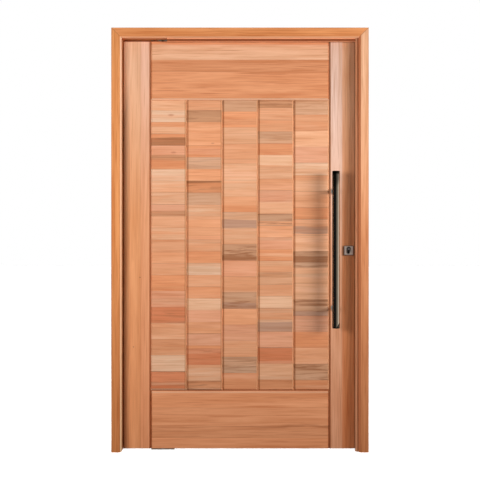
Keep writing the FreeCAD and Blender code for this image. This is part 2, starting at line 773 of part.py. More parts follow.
def shape_post(body, face, end):
    """A post with its flange on the leaf, hollowed at its tip to the round of the tube."""
    height = f"size.pull_centre_height + {end} * size.pull_post_spacing / 2"
    move(body, x="place.pull_axis", y=f"{face} * place.leaf_face", z=height)
    profile = new_sketch(body, "XY_Plane")
    corners = [
        (0, 0),
        ("size.flange_radius", 0),
        ("size.flange_radius", f"{face} * (size.flange_thickness - size.flange_bevel)"),
        ("size.flange_radius - size.flange_bevel", f"{face} * size.flange_thickness"),
        ("size.post_radius", f"{face} * size.flange_thickness"),
        ("size.post_radius", f"{face} * size.pull_standoff"),
        (0, f"{face} * size.pull_standoff"),
    ]
    draw_polygon(profile, corners)
    revolve(body, profile)
    saddle = new_sketch(body, "XY_Plane")
    draw_circle(saddle, 0, f"{face} * size.pull_standoff", "size.pull_radius")
    pocket(body, saddle, "4 * size.post_radius", symmetric=True)
    tie_hole = new_sketch(body, "XZ_Plane")
    draw_circle(tie_hole, 0, 0, "size.tie_bolt_radius + size.tie_bolt_fit")
    depth = "size.tie_bolt_grip + size.tie_bolt_end_fit"
    pocket(body, tie_hole, depth, reverse=face == FRONT)


def shape_tie_bolt(body, face, end):
    height = f"size.pull_centre_height + {end} * size.pull_post_spacing / 2"
    move(body, x="place.pull_axis", z=height)
    outline = new_sketch(body, "XZ_Plane")
    draw_circle(outline, 0, 0, "size.tie_bolt_radius")
    pad(body, outline, "size.leaf_thickness + 2 * size.tie_bolt_grip", symmetric=True)


def cut_tie_holes(stile):
    sketch = new_sketch(stile, "XZ_Plane")
    for end in (1, -1):
        height = f"size.pull_centre_height + {end} * size.pull_post_spacing / 2"
        draw_circle(
            sketch, "size.stile_width - size.pull_backset", f"{height} - size.bottom_gap",
            "size.tie_bolt_radius + size.tie_hole_fit",
        )
    pocket(stile, sketch, "size.leaf_thickness", symmetric=True)


def make_pulls():
    for name, face in (("outer_pull", FRONT), ("inner_pull", BACK)):
        make_pull_tube(f"{name}_tube", face)
        join_pair(f"{name}_caps", shape_cap, face)
        join_pair(f"{name}_posts", shape_post, face)
    join_pair("pull_tie_bolts", shape_tie_bolt, FRONT)


def check_document():
    for item in doc.Objects:
        if {"Invalid", "Error"} & set(item.State):
            raise RuntimeError(f"{item.Name} is {item.State}")
    for name, piece in pieces.items():
        shape = piece.Shape
        solids = 2 if piece.TypeId == "Part::Compound" else 1
        if shape.isNull() or not shape.isValid() or len(shape.Solids) != solids:
            raise RuntimeError(f"{name} is not made of {solids} valid solid")


def export_pieces():
    os.makedirs("parts", exist_ok=True)
    for name, piece in pieces.items():
        piece.Shape.exportStep(f"parts/{name}.step")


fill_sheets()
make_frame()
make_leaf_boards()
make_pivots()
cut_tie_holes(pieces["lock_side_stile"])
make_lock()
make_pulls()
doc.recompute()
check_document()
export_pieces()
for name in sorted(pieces):
    box = pieces[name].Shape.BoundBox
    print(
        f"{name:20s} {pieces[name].Shape.Volume / 1e3:9.1f} cm3 "
        f"x {box.XMin:7.1f} {box.XMax:7.1f} y {box.YMin:6.1f} {box.YMax:6.1f} "
        f"z {box.ZMin:7.1f} {box.ZMax:7.1f}"
    )
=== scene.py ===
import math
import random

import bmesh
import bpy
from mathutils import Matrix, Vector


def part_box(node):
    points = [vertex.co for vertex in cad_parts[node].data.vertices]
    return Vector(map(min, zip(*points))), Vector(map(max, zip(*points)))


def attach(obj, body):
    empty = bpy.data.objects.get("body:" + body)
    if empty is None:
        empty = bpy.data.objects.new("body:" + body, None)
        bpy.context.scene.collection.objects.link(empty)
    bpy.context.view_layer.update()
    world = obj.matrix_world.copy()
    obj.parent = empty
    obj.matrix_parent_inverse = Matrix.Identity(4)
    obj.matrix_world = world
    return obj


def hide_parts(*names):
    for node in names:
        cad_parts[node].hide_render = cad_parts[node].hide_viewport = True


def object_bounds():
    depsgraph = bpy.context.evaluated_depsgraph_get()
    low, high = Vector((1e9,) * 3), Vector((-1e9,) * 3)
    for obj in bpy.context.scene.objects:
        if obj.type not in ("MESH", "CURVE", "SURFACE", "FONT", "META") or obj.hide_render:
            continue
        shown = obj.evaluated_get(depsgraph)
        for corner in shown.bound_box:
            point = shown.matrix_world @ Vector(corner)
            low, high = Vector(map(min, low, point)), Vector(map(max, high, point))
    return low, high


bl_info = {
    "name": "Pivot Entry Door",
    "version": (1, 0, 0),
    "blender": (4, 5, 0),
    "location": "3D View > Sidebar > Door",
    "description": "Dresses the packed model of a solid wood pivot entry door",
    "category": "Object",
}

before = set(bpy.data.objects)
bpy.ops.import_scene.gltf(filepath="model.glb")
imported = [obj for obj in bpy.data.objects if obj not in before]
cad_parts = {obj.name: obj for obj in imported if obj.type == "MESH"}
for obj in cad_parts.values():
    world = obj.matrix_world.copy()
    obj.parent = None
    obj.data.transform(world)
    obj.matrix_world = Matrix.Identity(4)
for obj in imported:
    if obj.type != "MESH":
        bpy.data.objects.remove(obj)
CAD_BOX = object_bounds()

MM = 0.001
FRAME_TOP = CAD_BOX[1].z
DOOR_MIDDLE = (CAD_BOX[0].x + CAD_BOX[1].x) / 2
LEAF_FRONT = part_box("lock_side_stile")[0].y
LEAF_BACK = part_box("lock_side_stile")[1].y
LEAF_FACE = abs(LEAF_FRONT)
PANEL_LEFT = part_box("pivot_side_stile")[1].x
PANEL_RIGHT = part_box("lock_side_stile")[0].x
PANEL_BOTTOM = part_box("panel_column_1")[0].z
PANEL_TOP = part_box("panel_column_1")[1].z
COLUMN_COUNT = 5
COLUMN_PITCH = (PANEL_RIGHT - PANEL_LEFT) / COLUMN_COUNT
TONGUE_LENGTH = 10 * MM
GROOVE_DEPTH = 7 * MM


def linear(level):
    """A display colour level from 0 to 1, as light."""
    if level <= 0.04045:
        return level / 12.92
    return ((level + 0.055) / 1.055) ** 2.4


def light_of(colour, factor=1.0):
    """A display colour as light, times a factor."""
    return tuple(linear(level) * factor for level in colour)


def colour_setting(name, description, default):
    return bpy.props.FloatVectorProperty(
        name=name,
        description=description,
        subtype="COLOR_GAMMA",
        size=3,
        min=0.0,
        max=1.0,
        default=default,
    )


def length_setting(name, description, default):
    return bpy.props.FloatProperty(
        name=name,
        description=description,
        subtype="DISTANCE",
        unit="LENGTH",
        min=0.0,
        default=default,
        precision=4,
    )


def share_setting(name, description, default):
    return bpy.props.FloatProperty(
        name=name,
        description=description,
        subtype="FACTOR",
        min=0.0,
        max=1.0,
        default=default,
    )


def power_setting(name, description, default):
    return bpy.props.FloatProperty(
        name=name,
        description=description,
        subtype="POWER",
        unit="POWER",
        default=default,
    )


class DoorWoodSettings(bpy.types.PropertyGroup):
    """Tones and finish of the wood"""

    cream: colour_setting("Cream", "Palest boards", (0.95, 0.775, 0.645))
    pale: colour_setting("Pale peach", "Pale boards", (0.945, 0.73, 0.585))
    peach: colour_setting("Peach", "Most boards", (0.935, 0.68, 0.52))
    pink: colour_setting("Pink peach", "Pinkish boards", (0.93, 0.68, 0.545))
    orange: colour_setting("Orange", "Warm boards", (0.925, 0.635, 0.46))
    red: colour_setting("Red orange", "Reddest boards", (0.885, 0.555, 0.395))
    tan: colour_setting("Tan", "Greyish boards", (0.87, 0.68, 0.55))
    brown: colour_setting("Brown", "Brown boards", (0.80, 0.585, 0.44))
    umber: colour_setting("Dark brown", "Darkest streaks", (0.68, 0.465, 0.33))
    mauve: colour_setting("Mauve", "Greyish heart streaks", (0.76, 0.59, 0.50))
    jamb: colour_setting("Frame", "Jambs and head", (0.915, 0.60, 0.375))
    # Painted light: the frame bevel tone lightens the inner bevels and reveals, and the lock side bevel
    # tone darkens the lock side jamb's bevel and reveal.
    bevel: colour_setting("Frame bevel", "Worn inner bevels of the frame", (0.985, 0.755, 0.60))
    stop: colour_setting("Stops", "Stops of the frame", (0.96, 0.69, 0.52))
    stile: colour_setting("Stiles", "Stiles of the leaf", (0.93, 0.675, 0.51))
    pale_stile: colour_setting("Pale stave", "Pale stave of the lock stile", (0.93, 0.75, 0.63))
    # Painted shadow: the dark tone painted on the head's front stop.
    stain: colour_setting("Stain", "Stained front stop of the head", (0.56, 0.28, 0.14))
    lock_bevel: colour_setting("Lock side bevel", "Bevel of the lock side jamb", (0.86, 0.53, 0.35))
    roughness: share_setting("Roughness", "Of the lacquered wood", 0.42)
    coat: share_setting("Lacquer", "Weight of the clear coat", 0.15)


class DoorBoardSettings(bpy.types.PropertyGroup):
    """Short boards of the panel columns"""

    narrow: length_setting("Narrow board", "Height of a narrow board", 60.7 * MM)
    wide: length_setting("Wide board", "Height of a wide board", 83 * MM)
    groove_bevel: length_setting("V bevel", "Each side of a V groove", GROOVE_DEPTH)
    arris: length_setting("Arris", "Eased edge at a glued joint", 0.35 * MM)
    tongue: length_setting("Tongue", "Thickness of the tongues", 10 * MM)
    seed: bpy.props.IntProperty(
        name="Seed",
        description="Start of the random choice of tones and figure",
        default=11,
    )


class DoorMetalSettings(bpy.types.PropertyGroup):
    """Finish of the metal parts"""

    polished: colour_setting("Polished", "Pull handles", (0.86, 0.83, 0.78))
    satin: colour_setting("Satin", "Posts, plates, roller and bolt", (0.80, 0.77, 0.73))
    rose: colour_setting("Rose", "Square lock roses", (0.96, 0.89, 0.845))
    cylinder: colour_setting("Cylinder", "Lock cylinder", (0.30, 0.27, 0.27))
    plug: colour_setting("Key plug", "Key plugs of the cylinder", (0.66, 0.62, 0.62))
    pale_plate: colour_setting("Pale plate", "Zinc plated floor plate", (0.93, 0.93, 0.92))
    sides: bpy.props.IntProperty(
        name="Sides",
        description="Facets round a turned piece",
        default=64,
        min=24,
    )


class DoorStageSettings(bpy.types.PropertyGroup):
    """Camera, floor and lights"""

    camera_distance: length_setting("Camera distance", "In front of the door's middle", 4.27)
    camera_height: length_setting("Camera height", "Above the floor", 1.084)
    lens: bpy.props.FloatProperty(
        name="Lens",
        description="Focal length on a 36 mm sensor",
        subtype="DISTANCE_CAMERA",
        default=61.76,
    )
    floor_size: length_setting("Floor", "Side of the floor", 60.0)
    left_power: power_setting("Left light", "Power of the light at the left", 31.0)
    right_power: power_setting("Right light", "Power of the light at the right", 31.02)
    top_power: power_setting("Top light", "Power of the light over the door", 13.0)
    ambient: share_setting("Ambient", "Even light from all round", 0.12)


SETTINGS = {
    "door_wood": DoorWoodSettings,
    "door_boards": DoorBoardSettings,
    "door_metal": DoorMetalSettings,
    "door_stage": DoorStageSettings,
}


def deselect_all():
    """Ends any editing and leaves nothing selected."""
    active = bpy.context.view_layer.objects.active
    if active is not None and active.mode != "OBJECT":
        bpy.ops.object.mode_set(mode="OBJECT")
    bpy.ops.object.select_all(action="DESELECT")


def new_object(name, data):
    """An object in the scene, at the origin."""
    holder = bpy.data.objects.new(name, data)
    bpy.context.scene.collection.objects.link(holder)
    return holder


def start_piece(name):
    """An empty piece, open for editing, so that places go into its mesh."""
    deselect_all()
    piece = new_object(name, bpy.data.meshes.new(name))
    bpy.context.view_layer.objects.active = piece
    piece.select_set(True)
    bpy.ops.object.mode_set(mode="EDIT")
    return piece


def select_edges(piece, test):
    """Selects the edges whose middle and direction pass the test."""
    bpy.ops.mesh.select_mode(type="EDGE")
    bpy.ops.mesh.select_all(action="DESELECT")
    mesh = bmesh.from_edit_mesh(piece.data)
    for edge in mesh.edges:
        start, end = (vertex.co for vertex in edge.verts)
        if test((start + end) / 2, (end - start).normalized()):
            edge.select_set(True)
    bmesh.update_edit_mesh(piece.data)


def select_faces(piece, test):
    """Selects the faces whose middle and normal pass the test."""
    bpy.ops.mesh.select_mode(type="FACE")
    bpy.ops.mesh.select_all(action="DESELECT")
    mesh = bmesh.from_edit_mesh(piece.data)
    mesh.normal_update()
    for face in mesh.faces:
        if test(face.calc_center_median(), face.normal):
            face.select_set(True)
    bmesh.update_edit_mesh(piece.data)


def close_piece(piece, smooth_angle=None):
    """Ends the editing with doubles merged and normals outwards."""
    bpy.ops.mesh.select_all(action="SELECT")
    bpy.ops.mesh.remove_doubles(threshold=0.01 * MM)
    bpy.ops.mesh.normals_make_consistent(inside=False)
    bpy.ops.object.mode_set(mode="OBJECT")
    if smooth_angle is not None:
        bpy.ops.object.shade_smooth_by_angle(angle=smooth_angle)
    return piece


def copy_of(source, name, move):
    """A copy with its own mesh, moved to its place."""
    copy = new_object(name, source.data.copy())
    copy.data.name = name
    copy.data.transform(move)
    return copy


def join(pieces, name):
    """One piece of several."""
    deselect_all()
    for piece in pieces:
        piece.select_set(True)
    bpy.context.view_layer.objects.active = pieces[0]
    bpy.ops.object.join()
    joined = bpy.context.view_layer.objects.active
    joined.name = name
    joined.data.name = name
    deselect_all()
    return joined


def dress(piece, body, slot, material, *nodes):
    """Gives a finished piece its material and body, and hides the CAD nodes that it stands for; its slot
    is not used.
    """
    piece.data.materials.clear()
    piece.data.materials.append(material)
    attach(piece, body)
    if nodes:
        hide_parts(*nodes)


def paint(material, *nodes):
    """Gives carried-over CAD nodes a better material."""
    for name in nodes:
        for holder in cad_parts[name].material_slots:
            holder.material = material


class Nodes:
    """A node tree, built node by node."""

    def __init__(self, tree):
        self.tree = tree
        tree.nodes.clear()

    def add(self, kind, *values, **settings):
        """A node with its settings, and values or links for its sockets in their order."""
        node = self.tree.nodes.new(kind)
        for name, value in settings.items():
            setattr(node, name, value)
        for socket, value in zip(node.inputs, values):
            if value is not None:
                self.feed(socket, value)
        return node

    def feed(self, socket, value):
        """Links a socket or sets its value."""
        if isinstance(value, bpy.types.NodeSocket):
            self.tree.links.new(value, socket)
        elif socket.type == "RGBA":
            socket.default_value = (*value, 1.0)
        else:
            socket.default_value = value

    def maths(self, operation, first, second=0.0, third=0.0):
        return self.add("ShaderNodeMath", first, second, third, operation=operation).outputs[0]

    def times(self, first, second):
        return self.maths("MULTIPLY", first, second)

    def minus(self, first, second):
        return self.maths("SUBTRACT", first, second)

    def larger(self, first, second):
        return self.maths("MAXIMUM", first, second)

    def amount(self, value):
        """A value without its sign."""
        return self.maths("ABSOLUTE", value)

    def apart(self, first, second):
        """How far two values lie from each other."""
        return self.amount(self.minus(first, second))

    def length(self, first, second):
        """Length of the line that goes first one way and then across."""
        squares = self.maths("ADD", self.maths("POWER", first, 2.0), self.maths("POWER", second, 2.0))
        return self.maths("SQRT", squares)

    def vectors(self, operation, first, second):
        return self.add("ShaderNodeVectorMath", first, second, operation=operation).outputs[0]

    def spread_line(self, value, low, high, to_low=0.0, to_high=1.0):
        """The value's range from low to high, straight on to another range."""
        return self.add("ShaderNodeMapRange", value, low, high, to_low, to_high).outputs[0]

    def spread(self, value, low, high, to_low=0.0, to_high=1.0):
        """The value's range from low to high, smoothly on to another range."""
        sockets = (value, low, high, to_low, to_high)
        return self.add("ShaderNodeMapRange", *sockets, interpolation_type="SMOOTHSTEP").outputs[0]

    def band(self, value, none_below, full_from, full_to, none_above):
        """All of it inside a range, smoothly down to nothing outside."""
        rise = self.spread(value, none_below, full_from)
        return self.times(rise, self.spread(value, full_to, none_above, 1.0, 0.0))

    def stripe(self, value, centre, core, edge, share=1.0):
        """A stripe round a value: its full share out to core, none from edge on."""
        return self.spread(self.apart(value, centre), core, edge, share, 0.0)

    def mix(self, share, first, second, blend="MIX"):
        """Two colours, mixed."""
        node = self.add("ShaderNodeMix", share, data_type="RGBA", blend_type=blend)
        self.feed(node.inputs[6], first)
        self.feed(node.inputs[7], second)
        return node.outputs[2]

    def stain(self, colour, stain, share=1.0):
        """A colour seen through a share of another."""
        return self.mix(share, colour, stain, "MULTIPLY")

    def tint(self, colour, factor):
        """A colour made lighter or darker by a number."""
        grey = self.add("ShaderNodeCombineColor", factor, factor, factor)
        return self.stain(colour, grey.outputs[0])

    def line_colour(self, factor):
        """A shade for dark grain lines, which stay red while green and blue fall away."""
        levels = [self.maths("POWER", factor, power) for power in (0.8, 1.25, 1.6)]
        return self.add("ShaderNodeCombineColor", *levels).outputs[0]

    def noise(self, place, scale, detail=2.0, roughness=0.5, distortion=0.0):
        node = self.add("ShaderNodeTexNoise", place)
        node.inputs["Scale"].default_value = scale
        node.inputs["Detail"].default_value = detail
        node.inputs["Roughness"].default_value = roughness
        node.inputs["Distortion"].default_value = distortion
        return node.outputs[0]

    def ramp(self, value, stops, interpolation="LINEAR"):
        """A colour by place, from (place, colour) stops."""
        node = self.add("ShaderNodeValToRGB", value)
        band = node.color_ramp
        band.interpolation = interpolation
        while len(band.elements) < len(stops):
            band.elements.new(1.0)
        while len(band.elements) > len(stops):
            band.elements.remove(band.elements[-1])
        for element, (position, colour) in zip(band.elements, stops):
            element.position = position
            element.color = (*colour, 1.0)
        return node.outputs[0]

    def axes(self, vector):
        return self.add("ShaderNodeSeparateXYZ", vector).outputs

    def drawn_out(self, place, axis, share):
        """Places squeezed along an axis, so that a pattern on them is drawn out along it."""
        scale = tuple(share if name == axis else 1.0 for name in "XYZ")
        return self.add("ShaderNodeMapping", place, None, None, scale).outputs[0]


class Finish(Nodes):
    """A material, from the place and the facing of each spot on its piece."""

    def __init__(self, name):
        self.material = bpy.data.materials.new(name)
        self.material.use_nodes = True
        super().__init__(self.material.node_tree)
        output = self.add("ShaderNodeOutputMaterial")
        self.shader = self.add("ShaderNodeBsdfPrincipled")
        self.tree.links.new(self.shader.outputs[0], output.inputs[0])
        spot = self.add("ShaderNodeTexCoord").outputs
        self.place = spot["Object"]
        self.x, self.y, self.z = self.axes(self.place)
        self.facing = self.axes(spot["Normal"])

    def attribute(self, name, output):
        node = self.add("ShaderNodeAttribute", attribute_name=name, attribute_type="GEOMETRY")
        return node.outputs[output]

    def bump(self, height, strength, distance):
        node = self.add("ShaderNodeBump")
        for name, value in (("Strength", strength), ("Distance", distance), ("Height", height)):
            self.feed(node.inputs[name], value)
        return node.outputs[0]

    def surface(self, levels):
        """Ends the material with values and links for the shader's sockets."""
        for name, level in levels.items():
            self.feed(self.shader.inputs[name], level)
        return self.material


# Noise of each pattern in the wood: squeeze along the grain, scale, detail, roughness, distortion.
BROAD_BANDS = (0.055, 15.0, 2.0, 0.5, 0.8)
GROWTH_LINES = (0.055, 9.0, 1.0, 0.4, 0.3)
STREAKS = (0.032, 78.0, 3.0, 0.6, 0.3)
HAIRLINES = (0.022, 230.0, 2.0, 0.55, 0.2)
FIBRES = (0.012, 620.0, 2.0, 0.6)
RING_COUNT = 26.0
MEAN_FIGURE = 0.66
BAND_WEIGHT, STREAK_WEIGHT, RING_WEIGHT, FIBRE_WEIGHT = 1.3, 0.95, 0.20, 0.35
STREAK_LINE, STREAK_DEPTH = (0.58, 0.70), 0.16
HAIRLINE, HAIRLINE_DEPTH = (0.50, 0.66), 0.13

# Stains and painted shades, as what is left of red, green and blue: the figure, end grain and rail streak
# are the wood's own; the groove tints and the jamb's shadow tint are painted shade.
DARK_FIGURE = (0.78, 0.61, 0.47)
LIGHT_FIGURE = (1.08, 1.10, 1.12)
END_GRAIN = (0.86, 0.74, 0.64)
GROOVE_SIDE_SHADE = (0.82, 0.70, 0.60)
DEEP_SHADE_TINT = (0.40, 0.27, 0.19)
BESIDE_GROOVE_SHADE = (0.57, 0.43, 0.32)
GROOVE_EDGE_SHADE = (0.55, 0.43, 0.32)
RAIL_STREAK = (0.62, 0.55, 0.50)
JAMB_SHADOW_TINT = (0.85, 0.81, 0.70)

# Tones, as light: a pale tone painted as light and highlights on rail edges, a lighter tone painted on
# the bevels that face the light, and the knots' own tone.
PAINTED_LIGHT_TONE = light_of((0.95, 0.775, 0.645))
LIT_BEVEL_TONE = light_of((0.95, 0.71, 0.52))
KNOT_TONE = (0.58, 0.23, 0.13)

# Shares of a normal between which a face turns into a slope.
SLOPE = (0.3, 0.6)
STAVE_SHIFT = (2.17, 1.19, 1.61)
STAVE_JOINT, STAVE_JOINT_SHADE = 1.3 * MM, 0.80


def wood_figure(finish, place, grain, tone, strength):
    """Grain in a tone: broad bands, growth lines, streaks and fine fibres along one axis."""

    def pattern(squeeze, *noise):
        return finish.noise(finish.drawn_out(place, grain, squeeze), *noise)

    streak, fibre = pattern(*STREAKS), pattern(*FIBRES)
    rings = finish.maths("PINGPONG", finish.times(pattern(*GROWTH_LINES), RING_COUNT), 1.0)
    parts = (
        (pattern(*BROAD_BANDS), BAND_WEIGHT),
        (streak, STREAK_WEIGHT),
        (rings, RING_WEIGHT),
        (fibre, FIBRE_WEIGHT),
    )
    figure = MEAN_FIGURE
    for part, weight in parts:
        figure = finish.maths("MULTIPLY_ADD", finish.minus(part, 0.5), weight * strength, figure)
    colour = finish.mix(figure, finish.stain(tone, DARK_FIGURE), finish.stain(tone, LIGHT_FIGURE))
    lines = finish.times(
        finish.spread(streak, *STREAK_LINE, 1.0, 1.0 - STREAK_DEPTH * strength),
        finish.spread(pattern(*HAIRLINES), *HAIRLINE, 1.0, 1.0 - HAIRLINE_DEPTH * strength),
    )
    return finish.stain(colour, finish.line_colour(lines)), streak, fibre


def end_grain(finish, colour, grain, start=0.35):
    """Darker where a cut crosses the grain."""
    along = finish.amount(finish.facing["XYZ".index(grain)])
    return finish.stain(colour, END_GRAIN, finish.spread(along, start, 0.9))


def lacquered(finish, colour, streak, fibre, settings):
    """Clear lacquer over the wood, with a gloss and a relief that follow its figure."""
    rough = settings.roughness
    relief = finish.maths("MULTIPLY_ADD", fibre, 0.6, streak)
    return finish.surface({
        "Base Color": colour,
        "Roughness": finish.spread(streak, 0.3, 0.7, rough - 0.06, rough + 0.10),
        "IOR": 1.45,
        "Specular IOR Level": 0.4,
        "Coat Weight": settings.coat,
        "Coat Roughness": 0.3,
        "Normal": finish.bump(relief, 0.25, 0.4 * MM),
    })


def painted_groove_shade(finish, colour, most, line, start=0.70, line_up=1.0):
    """Painted shade in the V grooves: browner below the leaf's faces, darkest deep down, and less on what
    looks up.
    """
    depth = finish.amount(finish.y)
    upward = finish.facing[2]
    most = finish.times(most, finish.spread(upward, *SLOPE, 1.0, 0.15))
    below = finish.spread(depth, LEAF_FACE - 1.0 * MM, LEAF_FACE - 0.3 * MM, 1.0, 0.0)
    colour = finish.stain(colour, GROOVE_SIDE_SHADE, finish.times(most, below))
    line = finish.times(line, finish.spread(upward, *SLOPE, 1.0, line_up))
    floor, top = LEAF_FACE - GROOVE_DEPTH, LEAF_FACE - start * GROOVE_DEPTH
    return finish.stain(colour, DEEP_SHADE_TINT, finish.spread(depth, floor, top, line, 0.0))


def joint_shade(finish, share, joints, half_width):
    """A hairline shade at each glued joint, along a 0 to 1 share."""
    stops = [(0.0, (1.0,) * 3)]
    for joint in joints:
        levels = ((-half_width, 1.0), (0.0, STAVE_JOINT_SHADE), (half_width, 1.0))
        stops += [(joint + off, (level,) * 3) for off, level in levels]
    return finish.ramp(share, stops)


def paint_staves(node, settings, grain, staves, strength=1.0, extra=None):
    """Paints a CAD node as wood glued up from staves, given as (share across, tone)."""
    finish = Finish(f"{node}_wood")
    axis = 0 if grain == "Z" else 2
    low, high = (corner[axis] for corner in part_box(node))
    share = finish.spread_line((finish.x, finish.y, finish.z)[axis], low, high)
    tone = finish.ramp(share, staves, "CONSTANT")
    numbers = [(at, (number,) * 3) for number, (at, _) in enumerate(staves, 1)]
    shift = finish.vectors("MULTIPLY", finish.ramp(share, numbers, "CONSTANT"), STAVE_SHIFT)
    moved = finish.vectors("ADD", finish.place, shift)
    colour, streak, fibre = wood_figure(finish, moved, grain, tone, strength)
    joints = [at for at, _ in staves[1:]]
    if joints:
        shade = joint_shade(finish, share, joints, STAVE_JOINT / (high - low))
        colour = finish.stain(colour, shade)
    if extra is not None:
        colour = extra(finish, colour)
    colour = end_grain(finish, colour, grain)
    paint(lacquered(finish, colour, streak, fibre, settings), node)


# Drifts of tone with height, as the light falls on the real door: share of the height, factors.
EVEN = ((0.0, (1.0, 1.0, 1.0)),)
HEAD_DRIFT = ((0.0, (1.01, 1.06, 1.12)),)
PIVOT_JAMB_DRIFT = (
    (0.0, (0.86, 0.80, 0.76)),
    (0.5, (1.0, 1.03, 1.02)),
    (1.0, (1.08, 1.24, 1.30)),
)
PIVOT_BEVEL_DRIFT = (
    (0.0, (1.08, 1.36, 1.31)),
    (0.4, (1.08, 1.20, 1.22)),
    (0.9, (1.08, 1.28, 1.46)),
)
LOCK_JAMB_DRIFT = (
    (0.0, (0.86, 0.86, 0.98)),
    (0.5, (1.05, 1.22, 1.65)),
    (0.9, (1.12, 1.66, 2.75)),
)
PIVOT_STILE_DRIFT = (
    (0.1, (1.04, 0.90, 0.74)),
    (0.55, (0.95, 0.92, 0.80)),
    (0.92, (1.02, 1.26, 1.50)),
)
LOCK_STILE_DRIFT = (
    (0.1, (0.95, 0.72, 0.60)),
    (0.45, (0.97, 0.84, 0.76)),
    (0.85, (1.0, 1.15, 1.42)),
)


def drifted(finish, colour, stops):
    """A colour whose tint drifts with height."""
    return finish.stain(colour, finish.ramp(finish.maths("DIVIDE", finish.z, FRAME_TOP), stops))


# Shades of the frame: from and to a distance, and what they are there.
MITRE_LINE = (0.4 * MM, 2.6 * MM, 0.55, 1.0)
OUTER_ARRIS = (0.5 * MM, 4.0 * MM, 0.78, 1.0)
ON_BEVEL = (0.45, 0.6, 0.8, 0.95)
SIDE_ON = (0.1, 0.3, 1.0, 0.0)
NEAR_FRONT = (32 * MM, 44 * MM)
INNER_FACE = (46 * MM, 49.5 * MM)
# Painted shadow on the lock side stop, measured across from its inner edge.
STOP_SHADOW = (7.0 * MM, 13.5 * MM, 0.0, 0.86)
STOP_SHADOW_LINE = (1.0 * MM, 2.6 * MM, 0.4, 0.0)


def jamb_extra(bevel, drift, bevel_share=0.65, bevel_drift=EVEN, bevel_start=43 * MM):
    """Mitre lines at the corners, painted light on the inner bevels and on the reveals near the front,
    and a drift of tone with height that paints the fall of light.
    """

    def add(finish, colour):
        from_side = finish.minus(DOOR_MIDDLE, finish.apart(finish.x, DOOR_MIDDLE))
        from_top = finish.minus(FRAME_TOP, finish.z)
        from_edge = finish.maths("MINIMUM", from_side, from_top)
        off_mitre = finish.apart(from_side, from_top)
        colour = finish.tint(colour, finish.spread(off_mitre, *MITRE_LINE))
        colour = finish.tint(colour, finish.spread(from_edge, *OUTER_ARRIS))
        colour = drifted(finish, colour, drift)
        facing = finish.amount(finish.facing[1])
        started = finish.spread(from_edge, bevel_start, bevel_start + 3 * MM)
        on_bevel = finish.times(finish.band(facing, *ON_BEVEL), started)
        # Painted light on the reveals near the front, as if lit from below.
        near_front = finish.spread(finish.amount(finish.y), *NEAR_FRONT)
        inner = finish.times(near_front, finish.spread(from_edge, *INNER_FACE))
        reveal = finish.times(inner, finish.spread(facing, *SIDE_ON))
        # Painted light: bevels and reveals are mixed towards the bevel tone, which drifts with height.
        painted_bevel_light = finish.mix(bevel_share, colour, light_of(bevel))
        painted_bevel_light = drifted(finish, painted_bevel_light, bevel_drift)
        return finish.mix(finish.larger(on_bevel, reveal), colour, painted_bevel_light)

    return add


def stop_shadow_extra(finish, colour):
    """Painted shadow on the lock side stop: its dark half next to the jamb, and a dark line along its
    inner edge by the leaf.
    """
    across = finish.minus(finish.x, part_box("lock_side_stop")[0].x)
    dark = finish.larger(finish.spread(across, *STOP_SHADOW), finish.spread(across, *STOP_SHADOW_LINE))
    return finish.stain(colour, DEEP_SHADE_TINT, dark)


def pin_knot(finish, colour, centre_x, centre_z, radius):
    """A small dark knot that goes right through."""
    away = finish.length(finish.minus(finish.x, centre_x), finish.minus(finish.z, centre_z))
    return finish.tint(colour, finish.spread(away, radius * 0.4, radius, 0.45, 1.0))


def stile_extra(edge_shade, groove, drift, knots=(), fade=None, jamb_shadow=None):
    """Painted shade along the edge beside the frame and beside the groove by the panel, painted shade in
    the groove, a painted jamb shadow where given, and the drift of tone with height.
    """

    def add(finish, colour):
        for knot in knots:
            colour = pin_knot(finish, colour, *knot)
        colour = drifted(finish, colour, drift)
        # Painted shade along the edge beside the frame, fading with height where a fade is given.
        shade = finish.spread(finish.x, *edge_shade)
        if fade is not None:
            shade = finish.larger(shade, finish.spread(finish.z, *fade))
        colour = finish.tint(colour, shade)
        # Painted shade beside the groove by the panel.
        beside = finish.stripe(finish.x, groove, 6.5 * MM, 11.0 * MM)
        colour = finish.stain(colour, BESIDE_GROOVE_SHADE, beside)
        colour = painted_groove_shade(finish, colour, 0.3, 0.3, 0.35)
        # Painted shadow of the lock jamb on the lock stile.
        if jamb_shadow is not None:
            colour = finish.stain(colour, JAMB_SHADOW_TINT, finish.spread(finish.x, *jamb_shadow))
        return colour

    return add


def top_rail_extra(finish, colour):
    """Painted light on the rail's bevel that faces down over the panel, and hardly a painted shade line
    in its groove.
    """
    down = finish.spread(finish.facing[2], -0.6, -0.3, 0.9, 0.0)
    return painted_groove_shade(finish, finish.mix(down, colour, PAINTED_LIGHT_TONE), 0.05, 0.2)


STREAK_HEIGHT, STREAK_WAVER, STREAK_START = 118 * MM, 60 * MM, (0.55, 0.85)


def bottom_rail_extra(finish, colour):
    """A painted highlight along the edge over the groove, painted shade in the groove, and a long dark
    streak low at the lock side.
    """
    # Painted highlight along the rail's edge over the groove.
    edge = finish.stripe(finish.z, PANEL_BOTTOM + 1 * MM, 2 * MM, 6 * MM, 0.45)
    colour = finish.mix(edge, colour, PAINTED_LIGHT_TONE)
    waver = finish.noise(finish.drawn_out(finish.place, "X", 0.3), 9.0, 3.0, 0.6)
    height = finish.maths("MULTIPLY_ADD", finish.minus(waver, 0.5), STREAK_WAVER, finish.z)
    streak = finish.stripe(height, STREAK_HEIGHT, 1 * MM, 9 * MM, 0.55)
    streak = finish.times(streak, finish.spread(finish.x, *STREAK_START))
    return painted_groove_shade(finish, finish.stain(colour, RAIL_STREAK, streak), 0.1, 0.95, 0.1)


